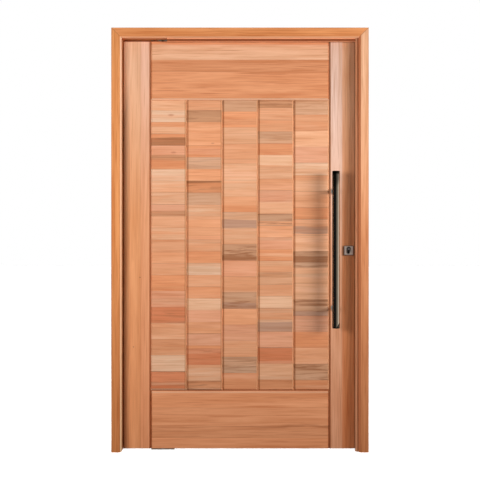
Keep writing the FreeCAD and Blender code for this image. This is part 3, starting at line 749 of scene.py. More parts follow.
class DOOR_OT_frame_wood(bpy.types.Operator):
    """Give the jambs, the head and the stops their wood"""

    bl_idname = "door.frame_wood"
    bl_label = "Frame Wood"

    def execute(self, context):
        wood = context.scene.door_wood
        jamb, stop = [(0.0, light_of(wood.jamb))], [(0.0, light_of(wood.stop))]
        pivot_jamb_marks = jamb_extra(wood.bevel, PIVOT_JAMB_DRIFT, 0.9, PIVOT_BEVEL_DRIFT)
        lock_jamb_marks = jamb_extra(wood.lock_bevel, LOCK_JAMB_DRIFT, 0.9, bevel_start=37 * MM)
        edge = light_of(wood.stop, 1.04)
        # Painted shadow: most of the head's front stop is painted dark where the head shades it; both
        # edges keep the stop's tone.
        head_stop_shadow = [(0.0, edge), (0.09, light_of(wood.stain, 0.9)), (0.72, edge)]
        parts = (
            ("pivot_side_jamb", "Z", jamb, 1.45, pivot_jamb_marks),
            ("pivot_side_stop", "Z", stop, 1.45, None),
            ("lock_side_jamb", "Z", jamb, 1.45, lock_jamb_marks),
            ("lock_side_stop", "Z", stop, 1.45, stop_shadow_extra),
            ("head_jamb", "X", jamb, 1.6, jamb_extra(wood.bevel, HEAD_DRIFT)),
            ("head_stop_front", "X", head_stop_shadow, 0.6, None),
            ("head_stop_back", "X", stop, 0.6, None),
        )
        for node, grain, staves, strength, extra in parts:
            paint_staves(node, wood, grain, staves, strength, extra)
        return {"FINISHED"}


PIN_KNOTS = ((0.1409, 0.891, 4 * MM), (0.1074, 0.532, 3.5 * MM))

# Staves of the rails, each from a height up, with its tone and factor; figure strength; extra.
RAILS = {
    "bottom_rail": (
        ((0.0, "orange", 1.12), (0.062, "orange", 1.0), (0.124, "orange", 1.06), (0.217, "orange", 1.10)),
        1.2,
        bottom_rail_extra,
    ),
    "top_rail": (
        ((0.0, "orange", 0.95), (1.952, "orange", 0.88), (2.014, "pale", 0.97), (2.092, "orange", 0.95)),
        1.4,
        top_rail_extra,
    ),
}


class DOOR_OT_leaf_wood(bpy.types.Operator):
    """Give the stiles and rails of the leaf their wood"""

    bl_idname = "door.leaf_wood"
    bl_label = "Leaf Wood"

    def execute(self, context):
        wood = context.scene.door_wood
        low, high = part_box("pivot_side_stile")
        staves = [(0.0, light_of(wood.stile, 0.97)), (0.62, light_of(wood.pink, 1.03))]
        # Painted shade along the pivot stile's edge by the jamb, fading out towards the top.
        edge_shade = (low.x - 2 * MM, low.x + 38 * MM, 0.48, 1.0)
        fade = (1.45, 1.95, 0.0, 1.0)
        extra = stile_extra(edge_shade, high.x, PIVOT_STILE_DRIFT, PIN_KNOTS, fade)
        paint_staves("pivot_side_stile", wood, "Z", staves, 0.9, extra)
        low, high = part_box("lock_side_stile")
        staves = [(0.0, light_of(wood.pale_stile)), (0.48, light_of(wood.stile))]
        # Painted shade along the lock stile's edge by the stop.
        edge_shade = (high.x - 14 * MM, high.x - 9 * MM, 1.0, 0.5)
        # Painted shadow of the lock jamb, across the lock stile's outer stretch.
        jamb_shadow = (high.x - 80 * MM, high.x - 50 * MM)
        extra = stile_extra(edge_shade, low.x, LOCK_STILE_DRIFT, jamb_shadow=jamb_shadow)
        paint_staves("lock_side_stile", wood, "Z", staves, 1.25, extra)
        for node, (staves, strength, extra) in RAILS.items():
            paint_staves(node, wood, "X", self.by_height(node, wood, staves), strength, extra)
        return {"FINISHED"}

    def by_height(self, node, wood, staves):
        """Staves with their places as shares of the node's own height."""
        low, high = (corner.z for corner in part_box(node))
        return [
            (max(height - low, 0.0) / (high - low), light_of(getattr(wood, tone), factor))
            for height, tone, factor in staves
        ]


# Kinds of board: tone, tone and share of its veins, lightness.
BOARD_KINDS = {
    "cream": ("cream", "pale", 0.45, 1.0),
    "pale": ("pale", "peach", 0.5, 1.0),
    "peach": ("peach", "orange", 0.4, 1.0),
    "pink": ("pink", "red", 0.22, 1.0),
    "orange": ("orange", "red", 0.35, 1.0),
    "red": ("red", "umber", 0.30, 1.0),
    "tan": ("tan", "brown", 0.65, 1.0),
    "grey": ("tan", "mauve", 0.35, 1.08),
    "rust": ("orange", "umber", 0.65, 0.86),
    "brown": ("tan", "umber", 0.80, 0.92),
    "umber": ("brown", "umber", 0.75, 0.98),
    "mauve": ("mauve", "umber", 0.5, 1.0),
}
COMMON_KINDS = ("peach", "peach", "peach", "peach", "pale", "pink", "pink", "orange")
COMMON_BANDS = ("orange", "pink", "pale", "tan", "orange")
COMMON_JOINTS = (0.05, 0.12, 0.2, 0.35)
LEAST_BOARD = 8 * MM
MARKED_BAND_SHARE = 0.85
NO_KNOT = (0.0, -1.0, 1 * MM)

# The panel columns, with their boards from the top down. In rows, n and w are narrow and wide
# boards and other letters the column's odd sizes. In kinds, a point leaves the board to chance.
# Bands have a tone and reach over shares of the board's height. Knots are x, z and radius.
COLUMNS = (
    {
        "rows": "f" + "n" * 14 + "w" * 6 + "l",
        "odd_sizes": {"f": 54.5 * MM, "l": 89 * MM},
        "kinds": "pale cream pale . pink orange cream pale pale . . pale . . . orange . red peach ."
                 " cream red cream",
        "bands": {
            2: ("orange", 0.6, 1.1), 3: ("umber", -0.1, 0.66), 4: ("brown", -0.4, 0.22),
            5: ("brown", 0.80, 1.2), 9: ("brown", -0.1, 0.38),
        },
        "dark_joints": {3: 0.6, 21: 0.8},
        "knots": {1: (0.301, 1.729, 9 * MM), 4: (0.314, 1.536, 8 * MM)},
    },
    {
        "rows": "f" + "n" * 20 + "s" + "w" * 2,
        "odd_sizes": {"f": 54.5 * MM, "s": 17 * MM},
        "kinds": "peach umber . peach orange grey peach rust tan pale . . . orange cream . orange"
                 " cream . . . orange red pale rust",
        "bands": {
            1: ("brown", -0.1, 0.4), 5: ("tan", -0.2, 1.2), 7: ("umber", 0.80, 1.1),
            9: ("cream", 0.3, 0.7),
        },
        "dark_joints": {7: 0.8, 9: 0.3, 20: 0.8},
        "knots": {3: (0.516, 1.583, 5 * MM)},
    },
    {
        "rows": "f" + "w" * 3 + "s" + "w" * 14,
        "odd_sizes": {"f": 60.5 * MM, "s": 22 * MM},
        "kinds": "tan orange pale peach . pale . peach grey pale brown pink . brown . . . brown"
                 " orange",
        "bands": {
            7: ("orange", -0.1, 0.4), 8: ("mauve", 0.0, 0.5), 10: ("umber", 0.05, 0.3),
            13: ("mauve", -0.1, 0.35),
        },
        "dark_joints": {10: 0.2},
        "knots": {},
    },
    {
        "rows": "f" + "n" * 19 + "w" * 3,
        "odd_sizes": {"f": 43 * MM},
        "kinds": "umber peach peach tan orange cream pale . . pale brown . . orange pale pale ."
                 " cream . grey . red pale rust",
        "bands": {
            10: ("peach", 0.0, 0.35), 15: ("brown", 0.6, 0.95), 19: ("mauve", -0.05, 0.85),
        },
        "dark_joints": {10: 0.5, 18: 0.8, 21: 0.8},
        "knots": {},
    },
    {
        "rows": "f" + "w" * 3 + "s" + "w" * 2 + "n" + "w" * 10,
        "odd_sizes": {"f": 77 * MM, "s": 64 * MM},
        "kinds": "tan peach pale pink cream pale . orange peach pale brown pale . brown . . ."
                 " brown orange",
        "bands": {8: ("mauve", 0.1, 0.6), 10: ("umber", 0.3, 0.7), 13: ("mauve", -0.1, 0.3)},
        "dark_joints": {4: 0.6, 8: 0.7},
        "knots": {},
    },
)

ALONG = 0.9
TOUCHING = 0.1 * MM


def model_board(name, left, right, height, settings, top_groove, bottom_groove):
    """A board of one column, standing on height zero, with its bevels, tongue and groove."""
    board = start_piece(name)
    half = (LEAF_BACK - LEAF_FRONT) / 2
    middle = Vector(((left + right) / 2, 0, height / 2))
    bpy.ops.mesh.primitive_cube_add(size=1, location=middle, scale=(right - left, 2 * half, height))

    def level_edge(point, direction, top, bottom):
        """A level edge of a face, at the board's top or bottom."""
        level = abs(direction.x) > ALONG and abs(abs(point.y) - half) < TOUCHING
        at_top = top and abs(point.z - height) < TOUCHING
        at_bottom = bottom and abs(point.z) < TOUCHING
        return level and (at_top or at_bottom)

    def beside_groove(point, direction):
        upright = abs(direction.z) > ALONG
        return upright or level_edge(point, direction, top_groove, bottom_groove)

    def at_joint(point, direction):
        return level_edge(point, direction, not top_groove, not bottom_groove)

    select_edges(board, beside_groove)
    bpy.ops.mesh.bevel(offset=settings.groove_bevel, offset_type="OFFSET", segments=1)
    select_edges(board, at_joint)
    bpy.ops.mesh.bevel(offset=settings.arris, offset_type="OFFSET", segments=1)
    half_tongue = settings.tongue / 2
    for side in (-half_tongue, half_tongue):
        bpy.ops.mesh.select_all(action="SELECT")
        bpy.ops.mesh.bisect(plane_co=(0, side, 0), plane_no=(0, 1, 0))
    for way in (-1, 1):
        select_faces(board, lambda point, normal: normal.x * way > ALONG and abs(point.y) < half_tongue)
        bpy.ops.mesh.extrude_region_move(TRANSFORM_OT_translate={"value": (-TONGUE_LENGTH, 0, 0)})
    return close_piece(board)


def give_board_values(board, values):
    """Writes one value of each attribute over the whole board."""
    mesh = board.data
    for name, (kind, field, value) in values.items():
        attribute = mesh.attributes.new(name, kind, "POINT")
        attribute.data.foreach_set(field, list(value) * len(mesh.vertices))


def board_tone(finish, moved):
    """A board's tone with its band, its veins and its knot."""
    waver = finish.noise(finish.drawn_out(moved, "X", 0.12), 30.0)
    wavy = finish.maths("MULTIPLY_ADD", finish.minus(waver, 0.5), 30 * MM, finish.z)
    low, high, band_share = finish.axes(finish.attribute("band", "Vector"))
    outside = finish.larger(finish.minus(low, wavy), finish.minus(wavy, high))
    inside = finish.times(finish.spread(outside, -3 * MM, 3 * MM, 1.0, 0.0), band_share)
    tone = finish.attribute("tone", "Color")
    tone = finish.mix(inside, tone, finish.attribute("band_tone", "Color"))
    veins = finish.noise(finish.drawn_out(moved, "X", 0.07), 62.0, 3.0, 0.6, 0.8)
    veins = finish.times(finish.spread(veins, 0.46, 0.64), finish.attribute("vein", "Alpha"))
    tone = finish.mix(veins, tone, finish.attribute("vein", "Color"))
    centre_x, centre_z, radius = finish.axes(finish.attribute("knot", "Vector"))
    off_across = finish.times(finish.minus(finish.x, centre_x), 0.4)
    away = finish.length(off_across, finish.minus(finish.z, centre_z))
    knot = finish.spread(finish.maths("DIVIDE", away, radius), 0.25, 1.0, 0.62, 0.0)
    return finish.mix(knot, tone, KNOT_TONE)


def glue_lines(finish, colour):
    """A dark line at a board's top, and a fainter one at its bottom."""
    top, bottom, strength = finish.axes(finish.attribute("joints", "Vector"))
    top_line = finish.spread(finish.minus(top, finish.z), 0.2 * MM, 2.2 * MM, 1.0, 0.0)
    bottom_line = finish.spread(finish.minus(finish.z, bottom), 0.2 * MM, 1.2 * MM, 0.25, 0.0)
    shade = finish.larger(finish.times(top_line, strength), bottom_line)
    return finish.tint(colour, finish.minus(1.0, shade))


# Painted shade lines beside the V grooves: distance from the groove and width.
GROOVE_SHADE_OFF = 7.2 * MM
GROOVE_SHADE_WIDTH = (1.2 * MM, 4.6 * MM)


def groove_shade_lines(finish, colour):
    """Painted shade along both edges of the upright V grooves, more along the right one."""
    from_left = finish.minus(finish.x, PANEL_LEFT)
    from_groove = finish.maths("MODULO", from_left, COLUMN_PITCH)
    inner = finish.spread(from_left, 20 * MM, 30 * MM)
    right = finish.times(finish.stripe(from_groove, GROOVE_SHADE_OFF, *GROOVE_SHADE_WIDTH), inner)
    fading = finish.spread(from_left, COLUMN_PITCH, 4 * COLUMN_PITCH, 0.5, 0.0)
    left = finish.times(finish.stripe(from_groove, COLUMN_PITCH - GROOVE_SHADE_OFF, *GROOVE_SHADE_WIDTH), fading)
    return finish.stain(colour, GROOVE_EDGE_SHADE, finish.larger(right, left))


def board_wood(settings):
    """Wood of the short boards, which takes tone, band and joints from each board's values."""
    finish = Finish("panel_board_wood")
    moved = finish.vectors("ADD", finish.place, finish.attribute("grain_shift", "Vector"))
    tone = board_tone(finish, moved)
    colour, streak, fibre = wood_figure(finish, moved, "X", tone, 0.9)
    colour = end_grain(finish, glue_lines(finish, colour), "X", 0.72)
    # Painted light: the groove bevels that face right are mixed towards a lighter tone.
    lean = finish.facing[0]
    on_bevel = finish.times(finish.band(lean, *SLOPE, 0.8, 0.9), 0.6)
    colour = finish.mix(on_bevel, colour, LIT_BEVEL_TONE)
    steep = finish.amount(lean)
    line = finish.spread(steep, *SLOPE, 0.55, 0.05)
    most = finish.spread(steep, *SLOPE, 0.12, 0.0)
    colour = painted_groove_shade(finish, colour, most, line, line_up=0.1)
    return lacquered(finish, groove_shade_lines(finish, colour), streak, fibre, settings)


class DOOR_OT_panel_boards(bpy.types.Operator):
    """Lay the short boards of the five panel columns"""

    bl_idname = "door.panel_boards"
    bl_label = "Panel Boards"

    def execute(self, context):
        boards = context.scene.door_boards
        wood = context.scene.door_wood
        material = board_wood(wood)
        chance = random.Random(boards.seed)
        for number, column in enumerate(COLUMNS, 1):
            node = f"panel_column_{number}"
            laid = self.lay_column(node, column, boards, wood, chance)
            piece = join(laid, f"{node}_boards")
            dress(piece, "leaf", "panel_wood", material, node)
            piece.visible_glossy = False
        return {"FINISHED"}

    def board_heights(self, column, boards, room):
        """Heights from the top down; what is left over is one board more, or goes to the last."""
        sizes = {"n": boards.narrow, "w": boards.wide, **column["odd_sizes"]}
        heights = [sizes[letter] for letter in column["rows"]]
        rest = room - sum(heights)
        if rest > LEAST_BOARD:
            heights.append(rest)
        else:
            heights[-1] += rest
        return heights

    def lay_column(self, node, column, boards, wood, chance):
        """The boards of one column, each kind modelled once and copied."""
        low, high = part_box(node)
        left = low.x + TONGUE_LENGTH
        right = high.x - (TONGUE_LENGTH if column is COLUMNS[-1] else 0)
        bottom, top = PANEL_BOTTOM + TONGUE_LENGTH, PANEL_TOP - TONGUE_LENGTH
        heights = self.board_heights(column, boards, top - bottom)
        models = {}
        laid = []
        foot = top
        for index, height in enumerate(heights):
            foot -= height
            ends = (index == 0, index == len(heights) - 1)
            kind = (round(height, 5), *ends)
            if kind not in models:
                models[kind] = model_board(f"{node}_model_{index}", left, right, height, boards, *ends)
            move = Matrix.Translation((0, 0, foot))
            board = copy_of(models[kind], f"{node}_board_{index}", move)
            self.finish_board(board, column, index, foot, height, wood, chance)
            laid.append(board)
        for model in models.values():
            bpy.data.objects.remove(model)
        return laid

    def finish_board(self, board, column, index, foot, height, wood, chance):
        """Gives a board its tone, veins, band, figure, joints and knot."""
        drawn_kind = chance.choice(COMMON_KINDS)
        marked = dict(enumerate(column["kinds"].split())).get(index, ".")
        kind = drawn_kind if marked == "." else marked
        tone_name, vein_name, vein_share, lightness = BOARD_KINDS[kind]
        lightness *= chance.uniform(0.95, 1.05)
        warmth = chance.uniform(-0.03, 0.03)
        red, green, blue = light_of(getattr(wood, tone_name), lightness)
        tone = (red * (1 + warmth), green, blue * (1 - warmth), 1.0)
        vein = (*light_of(getattr(wood, vein_name)), vein_share * chance.uniform(0.7, 1.3))
        band_name = chance.choice(COMMON_BANDS)
        band_low = chance.uniform(-0.4, 0.9)
        band_high = band_low + chance.uniform(0.15, 0.5)
        band_share = chance.uniform(0.1, 0.6)
        if index in column["bands"]:
            band_name, band_low, band_high = column["bands"][index]
            band_share = MARKED_BAND_SHARE
        band_tone = (*light_of(getattr(wood, band_name)), 1.0)
        band = (foot + band_low * height, foot + band_high * height, band_share)
        shift = [chance.uniform(-40.0, 40.0) for _ in range(3)]
        joint = column["dark_joints"].get(index, chance.choice(COMMON_JOINTS))
        values = {
            "tone": ("FLOAT_COLOR", "color", tone),
            "band_tone": ("FLOAT_COLOR", "color", band_tone),
            "vein": ("FLOAT_COLOR", "color", vein),
            "band": ("FLOAT_VECTOR", "vector", band),
            "grain_shift": ("FLOAT_VECTOR", "vector", shift),
            "joints": ("FLOAT_VECTOR", "vector", (foot + height, foot, joint)),
            "knot": ("FLOAT_VECTOR", "vector", column["knots"].get(index, NO_KNOT)),
        }
        give_board_values(board, values)


def metal(name, colour, roughness, brushed=None, metallic=1.0, shade=None):
    """Metal with fine scratches, faint stains and a varied gloss, perhaps brushed along an axis."""
    finish = Finish(name)
    scratch_scale, varied, relief = (2400.0, 0.10, 0.2) if brushed else (900.0, 0.03, 0.04)
    drawn = finish.drawn_out(finish.place, brushed, 0.02)
    scratch = finish.noise(drawn, scratch_scale, 3.0, 0.6)
    cloud = finish.noise(finish.place, 60.0, 3.0, 0.6)
    colour = finish.mix(cloud, light_of(colour, 0.8), light_of(colour))
    if shade is not None:
        colour = finish.tint(colour, shade(finish))
    return finish.surface({
        "Base Color": colour,
        "Roughness": finish.spread(scratch, 0.3, 0.7, roughness - varied / 2, roughness + varied),
        "Metallic": metallic,
        "Normal": finish.bump(scratch, relief, 0.1 * MM),
    })


def turn(axis, centre, profile, sides):
    """Draws a ring out along an axis, ring by ring, through the profile's (place, radius) pairs."""
    direction = Vector((0, 0, 1)) if axis == "Z" else Vector((0, 1, 0))
    rotation = (0, 0, 0) if axis == "Z" else (-math.pi / 2, 0, 0)
    here, radius = profile[0]
    at = Vector(centre) + direction * here
    bpy.ops.mesh.select_mode(type="FACE")
    bpy.ops.mesh.select_all(action="DESELECT")
    bpy.ops.mesh.primitive_circle_add(
        vertices=sides, radius=radius, fill_type="NGON", location=at, rotation=rotation
    )
    for there, wider in profile[1:]:
        move = direction * (there - here)
        at = at + move
        bpy.ops.mesh.extrude_region_move(TRANSFORM_OT_translate={"value": move})
        if not math.isclose(wider, radius):
            share = wider / radius
            bpy.ops.transform.resize(value=(share, share, share), center_override=at)
        here, radius = there, wider


def tube_profile(low, high, radius, cap):
    """Bar of a pull handle: rounded cap, joint groove, tube, and the same at the other end."""
    half = [
        (0.0, radius - 1.5 * MM),
        (0.4 * MM, radius - 0.6 * MM),
        (1.1 * MM, radius - 0.1 * MM),
        (1.6 * MM, radius),
        (cap - 0.3 * MM, radius),
        (cap, radius - 0.35 * MM),
        (cap + 0.3 * MM, radius),
    ]
    return [(low + z, r) for z, r in half] + [(high - z, r) for z, r in reversed(half)]


def post_profile(foot, end, outward, flange, post):
    """Post of a pull handle: flange on the leaf, then the neck up to the bar."""
    steps = [
        (0.0, flange),
        (5.0 * MM, flange),
        (5.6 * MM, flange - 0.25 * MM),
        (6.0 * MM, flange - 0.9 * MM),
        (6.0 * MM, post + 1.6 * MM),
        (6.4 * MM, post + 0.6 * MM),
        (7.6 * MM, post),
    ]
    return [(foot + outward * along, radius) for along, radius in steps] + [(end, post)]


CAP_HEIGHT = 14 * MM
POST_RADIUS = 10 * MM
BAR_SMOOTH = math.radians(35)


def bar_shade(finish):
    """Painted reflections: darker caps at both ends of a bar, cut slantwise, and a painted dark
    reflection under the upper one.
    """
    low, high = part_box("outer_pull_caps")
    slant = finish.minus(finish.x, (low.x + high.x) / 2)
    above_foot = finish.maths("MULTIPLY_ADD", slant, -1.6, finish.minus(finish.z, low.z))
    below_top = finish.minus(high.z, finish.z)
    foot = finish.spread(above_foot, 3 * MM, 6 * MM, 0.12, 1.0)
    top = finish.spread(below_top, CAP_HEIGHT, CAP_HEIGHT + 2 * MM, 0.14, 1.0)
    below_top = finish.maths("MULTIPLY_ADD", slant, 1.2, below_top)
    dark_reflection = finish.spread(below_top, 50 * MM, 95 * MM, 0.42, 1.0)
    return finish.times(finish.times(foot, top), dark_reflection)


class DOOR_OT_pull_handles(bpy.types.Operator):
    """Turn the bars and posts of the two pull handles"""

    bl_idname = "door.pull_handles"
    bl_label = "Pull Handles"

    def execute(self, context):
        settings = context.scene.door_metal
        polished = metal("polished_metal", settings.polished, 0.07, shade=bar_shade)
        satin = metal("post_satin", settings.satin, 0.34, "Y", 0.25)
        for side, outward in (("outer", -1), ("inner", 1)):
            low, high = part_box(f"{side}_pull_caps")
            centre = (low + high) / 2
            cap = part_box(f"{side}_pull_tube")[0].z - low.z
            bar = start_piece(f"{side}_pull_bar")
            profile = tube_profile(low.z, high.z, (high.x - low.x) / 2, cap)
            turn("Z", (centre.x, centre.y, 0), profile, settings.sides)
            close_piece(bar, BAR_SMOOTH)
            dress(bar, "leaf", "polished_steel", polished, f"{side}_pull_tube", f"{side}_pull_caps")
            low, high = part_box(f"{side}_pull_posts")
            flange = (high.x - low.x) / 2
            foot, end = (high.y, low.y) if outward < 0 else (low.y, high.y)
            posts = start_piece(f"{side}_pull_posts_turned")
            for height in (low.z + flange, high.z - flange):
                profile = post_profile(foot, end, outward, flange, POST_RADIUS)
                turn("Y", (low.x + flange, 0, height), profile, settings.sides)
            close_piece(posts, BAR_SMOOTH)
            dress(posts, "leaf", "polished_steel", satin, f"{side}_pull_posts")
        return {"FINISHED"}


def rose_shade(finish):
    """Painted shade and reflections: darker towards the rose's edges and round the cylinder, least so
    towards the lower right.
    """
    low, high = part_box("outer_lock_rose")
    centre, half = (low + high) / 2, (high.x - low.x) / 2
    barrel_low, barrel_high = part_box("lock_cylinder")
    radius = (barrel_high.x - barrel_low.x) / 2
    off_x = finish.apart(finish.x, centre.x)
    off = finish.larger(off_x, finish.apart(finish.z, centre.z))
    edge = finish.spread(off, half - 4.5 * MM, half - 2.5 * MM, 1.0, 0.30)
    over = finish.minus(finish.z, barrel_high.z - radius)
    under = finish.minus(barrel_low.z + radius, finish.z)
    past = finish.larger(finish.larger(over, under), 0.0)
    away = finish.minus(finish.length(off_x, past), radius)
    slant = finish.minus(finish.minus(finish.x, centre.x), over)
    least = finish.spread(slant, 8 * MM, 30 * MM, 0.22, 0.85)
    return finish.times(edge, finish.spread(away, 1.5 * MM, 5.5 * MM, least, 1.0))


class DOOR_OT_lock_furniture(bpy.types.Operator):
    """Finish the roses, the cylinder and the key plugs"""

    bl_idname = "door.lock_furniture"
    bl_label = "Lock Furniture"

    def execute(self, context):
        settings = context.scene.door_metal
        rose = metal("rose_brushed", settings.rose, 0.38, "X", 0.45, rose_shade)
        paint(rose, "outer_lock_rose", "inner_lock_rose")
        paint(metal("cylinder_nickel", settings.cylinder, 0.30), "lock_cylinder")
        plug = metal("plug_nickel", settings.plug, 0.34, metallic=0.6)
        paint(plug, "outer_key_plug", "inner_key_plug")
        return {"FINISHED"}


# Screw head from its seat up, as (height, radius) in millimetres, and its cross recess.
SCREW_PROFILE = ((-0.3, 3.9), (0.0, 4.0), (0.25, 3.9), (0.55, 3.2), (0.75, 2.2), (0.85, 1.2))
SCREW_SIDES = 24
SCREW_SEED = 5
RECESS_ARM, RECESS_WIDTH, RECESS_FLOOR, RECESS_TALL = 4.6 * MM, 0.9 * MM, 0.15 * MM, 2 * MM
EDGE_INSET = 12 * MM
PIVOT_SPACING = 44 * MM
PIVOT_PLATE = 3 * MM


def model_screw():
    """A raised countersunk head with a cross recess, on height zero, looking up."""
    cutter = start_piece("recess_cutter")
    middle = (0, 0, RECESS_FLOOR + RECESS_TALL / 2)
    for across, deep in ((RECESS_ARM, RECESS_WIDTH), (RECESS_WIDTH, RECESS_ARM)):
        bpy.ops.mesh.primitive_cube_add(size=1, location=middle, scale=(across, deep, RECESS_TALL))
    bpy.ops.object.mode_set(mode="OBJECT")
    screw = start_piece("screw")
    profile = [(along * MM, radius * MM) for along, radius in SCREW_PROFILE]
    turn("Z", (0, 0, 0), profile, SCREW_SIDES)
    close_piece(screw, math.radians(40))
    cut = screw.modifiers.new("recess", "BOOLEAN")
    cut.operation = "DIFFERENCE"
    cut.object = cutter
    cut.use_self = True
    bpy.context.view_layer.objects.active = screw
    bpy.ops.object.modifier_apply(modifier=cut.name)
    bpy.data.objects.remove(cutter)
    return screw


def plate_screws():
    """Places and facings of the screws, by body, read off the plates."""
    places = {"frame": [], "leaf": []}
    for body, node, facing in (("frame", "strike_plate", -1), ("leaf", "lock_faceplate", 1)):
        low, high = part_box(node)
        face = high.x if facing > 0 else low.x
        for height in (low.z + EDGE_INSET, high.z - EDGE_INSET):
            places[body].append((Vector((face, 0, height)), Vector((facing, 0, 0))))
    faces = (
        ("frame", "floor_pivot_plate", "low", PIVOT_PLATE, 1),
        ("frame", "head_pivot_plate", "high", -PIVOT_PLATE, -1),
        ("leaf", "top_pivot_socket", "high", 0.0, 1),
        ("leaf", "bottom_pivot_shoe", "low", 0.0, -1),
    )
    for body, node, end, off, facing in faces:
        low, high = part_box(node)
        height = (low if end == "low" else high).z + off
        middle = (low.x + high.x) / 2
        for across in (middle - PIVOT_SPACING, middle + PIVOT_SPACING):
            places[body].append((Vector((across, 0, height)), Vector((0, 0, facing))))
    return places


class DOOR_OT_edge_plates(bpy.types.Operator):
    """Finish the pivot and lock plates and screw them down"""

    bl_idname = "door.edge_plates"
    bl_label = "Edge Plates"

    def execute(self, context):
        settings = context.scene.door_metal
        upright = metal("satin_upright", settings.satin, 0.32, "Z")
        level = metal("satin_level", settings.satin, 0.32, "X")
        zinc = metal("floor_plate_zinc", settings.pale_plate, 0.4, "X", 0.15)
        paint(upright, "strike_plate", "lock_faceplate", "latch_roller", "deadbolt", "lock_case")
        paint(level, "head_pivot_plate", "top_pivot_socket", "bottom_pivot_shoe", "pull_tie_bolts")
        paint(zinc, "floor_pivot_plate")
        screw = model_screw()
        chance = random.Random(SCREW_SEED)
        for body, places in plate_screws().items():
            heads = []
            for number, (place, facing) in enumerate(places):
                turned = Matrix.Rotation(chance.uniform(0, math.pi), 4, "Z")
                face = Vector((0, 0, 1)).rotation_difference(facing).to_matrix().to_4x4()
                move = Matrix.Translation(place) @ face @ turned
                heads.append(copy_of(screw, f"{body}_screw_{number}", move))
            dress(join(heads, f"{body}_plate_screws"), body, "satin_steel", level)
        bpy.data.objects.remove(screw)
        return {"FINISHED"}


# Side lights, each with a twin at the back: place, aim, size and spread in degrees.
SIDE_LIGHTS = {
    "left": ((-1.88, 3.0, 1.6), (0.1, 0.02, 1.45), (1.9, 1.2), 100.0),
    "right": ((3.96, 2.1, 1.72), (1.2, 0.02, 1.65), (1.55, 1.2), 90.0),
}
TOP_LIGHT = ((DOOR_MIDDLE, 0, 4.2), (DOOR_MIDDLE, 0, 0), (1.6, 0.5), 110.0)
WARM_WHITE = (1.0, 0.985, 0.965)
FLOOR_SUN, FLOOR_SUN_ANGLE = 3.7, 0.2

# What polished metal reflects, from behind the camera round to the left.
ROOM_STOPS = (
    (0.0, (0.25, 0.22, 0.18)),
    (0.14, (0.01, 0.01, 0.01)),
    (0.47, (0.012, 0.012, 0.012)),
    (0.52, (0.14, 0.12, 0.10)),
    (0.64, (0.36, 0.32, 0.275)),
    (0.74, (0.92, 0.80, 0.68)),
    (0.90, (0.50, 0.45, 0.38)),
    (1.0, (0.25, 0.22, 0.18)),
)


def area_light(name, power, place, aim, size, spread):
    """A soft light that faces a point and is itself unseen."""
    lamp = bpy.data.lights.new(name, "AREA")
    lamp.shape = "RECTANGLE"
    lamp.size, lamp.size_y = size
    lamp.energy = power
    lamp.color = WARM_WHITE
    lamp.spread = math.radians(spread)
    holder = new_object(name, lamp)
    holder.location = place
    holder.rotation_euler = (Vector(aim) - Vector(place)).to_track_quat("-Z", "Y").to_euler()
    holder.visible_camera = False
    holder.visible_glossy = False


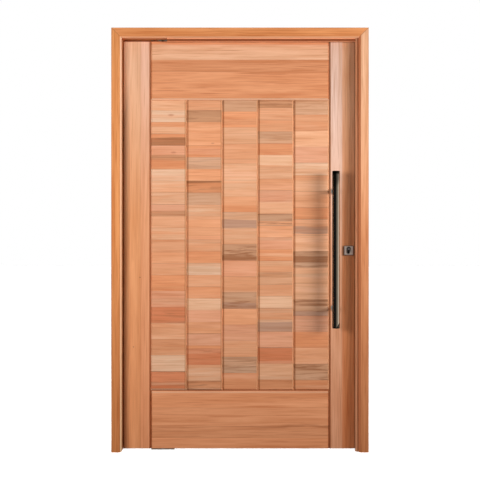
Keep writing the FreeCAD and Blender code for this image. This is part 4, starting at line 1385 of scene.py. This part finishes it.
class DOOR_OT_stage(bpy.types.Operator):
    """Set up the floor, the lights and the camera"""

    bl_idname = "door.stage"
    bl_label = "Stage"

    def execute(self, context):
        stage = context.scene.door_stage
        context.scene.view_settings.view_transform = "Standard"
        self.add_camera(stage)
        self.add_floor(stage)
        self.add_surroundings(stage)
        self.add_lights(stage)
        return {"FINISHED"}

    def add_camera(self, stage):
        data = bpy.data.cameras.new("camera")
        data.sensor_width = 36.0
        data.lens = stage.lens
        camera = new_object("camera", data)
        camera.location = (DOOR_MIDDLE, -stage.camera_distance, stage.camera_height)
        camera.rotation_euler = (math.pi / 2, 0, 0)
        bpy.context.scene.camera = camera

    def add_floor(self, stage):
        """A pale floor with a light of its own, so that it casts no glow on the door."""
        floor = start_piece("floor")
        bpy.ops.mesh.primitive_plane_add(size=stage.floor_size, location=(DOOR_MIDDLE, 0, -0.5 * MM))
        bpy.ops.object.mode_set(mode="OBJECT")
        grey = {"Base Color": (0.8, 0.8, 0.8), "Roughness": 0.9, "Specular IOR Level": 0.0}
        floor.data.materials.append(Finish("pale_floor").surface(grey))
        floor.visible_diffuse = False
        floor.visible_glossy = False
        sun = bpy.data.lights.new("floor_light", "SUN")
        sun.energy = FLOOR_SUN
        sun.angle = FLOOR_SUN_ANGLE
        receivers = bpy.data.collections.new("floor_only")
        receivers.objects.link(floor)
        linking = new_object("floor_light", sun).light_linking
        linking.receiver_collection = receivers
        linking.blocker_collection = receivers

    def add_surroundings(self, stage):
        """White behind the door, and a room for the metal to reflect."""
        world = bpy.data.worlds.new("studio")
        bpy.context.scene.world = world
        world.use_nodes = True
        sky = Nodes(world.node_tree)
        across, along, _ = sky.axes(sky.add("ShaderNodeTexCoord").outputs["Generated"])
        turned = sky.maths("ARCTAN2", across, sky.times(along, -1.0))
        room = sky.ramp(sky.spread_line(turned, -math.pi, math.pi), ROOM_STOPS)
        ray = sky.add("ShaderNodeLightPath").outputs
        seen = sky.mix(ray["Is Glossy Ray"], (stage.ambient,) * 3, room)
        seen = sky.mix(ray["Is Camera Ray"], seen, (1.0, 1.0, 1.0))
        back = sky.add("ShaderNodeBackground", seen, 1.0)
        output = sky.add("ShaderNodeOutputWorld")
        sky.tree.links.new(back.outputs[0], output.inputs[0])

    def add_lights(self, stage):
        for side, way in (("front", -1), ("back", 1)):
            flip = Vector((1, way, 1))
            for name, (place, aim, size, spread) in SIDE_LIGHTS.items():
                power = getattr(stage, f"{name}_power")
                spots = (Vector(place) * flip, Vector(aim) * flip)
                area_light(f"{name}_light_{side}", power, *spots, size, spread)
        area_light("top_light", stage.top_power, *TOP_LIGHT)


STEPS = (
    DOOR_OT_stage,
    DOOR_OT_frame_wood,
    DOOR_OT_leaf_wood,
    DOOR_OT_panel_boards,
    DOOR_OT_pull_handles,
    DOOR_OT_lock_furniture,
    DOOR_OT_edge_plates,
)


class DOOR_PT_sidebar(bpy.types.Panel):
    """The door's steps in the sidebar"""

    bl_idname = "DOOR_PT_sidebar"
    bl_label = "Pivot Entry Door"
    bl_space_type = "VIEW_3D"
    bl_region_type = "UI"
    bl_category = "Door"

    def draw(self, context):
        for step in STEPS:
            self.layout.operator(step.bl_idname)


CLASSES = (*SETTINGS.values(), *STEPS, DOOR_PT_sidebar)


def register():
    for kind in CLASSES:
        bpy.utils.register_class(kind)
    for name, kind in SETTINGS.items():
        setattr(bpy.types.Scene, name, bpy.props.PointerProperty(type=kind))


def unregister():
    for name in SETTINGS:
        delattr(bpy.types.Scene, name)
    for kind in reversed(CLASSES):
        bpy.utils.unregister_class(kind)


def main():
    register()
    bpy.ops.door.stage()
    bpy.ops.door.frame_wood()
    bpy.ops.door.leaf_wood()
    bpy.ops.door.panel_boards()
    bpy.ops.door.pull_handles()
    bpy.ops.door.lock_furniture()
    bpy.ops.door.edge_plates()


if __name__ == "__main__":
    main()
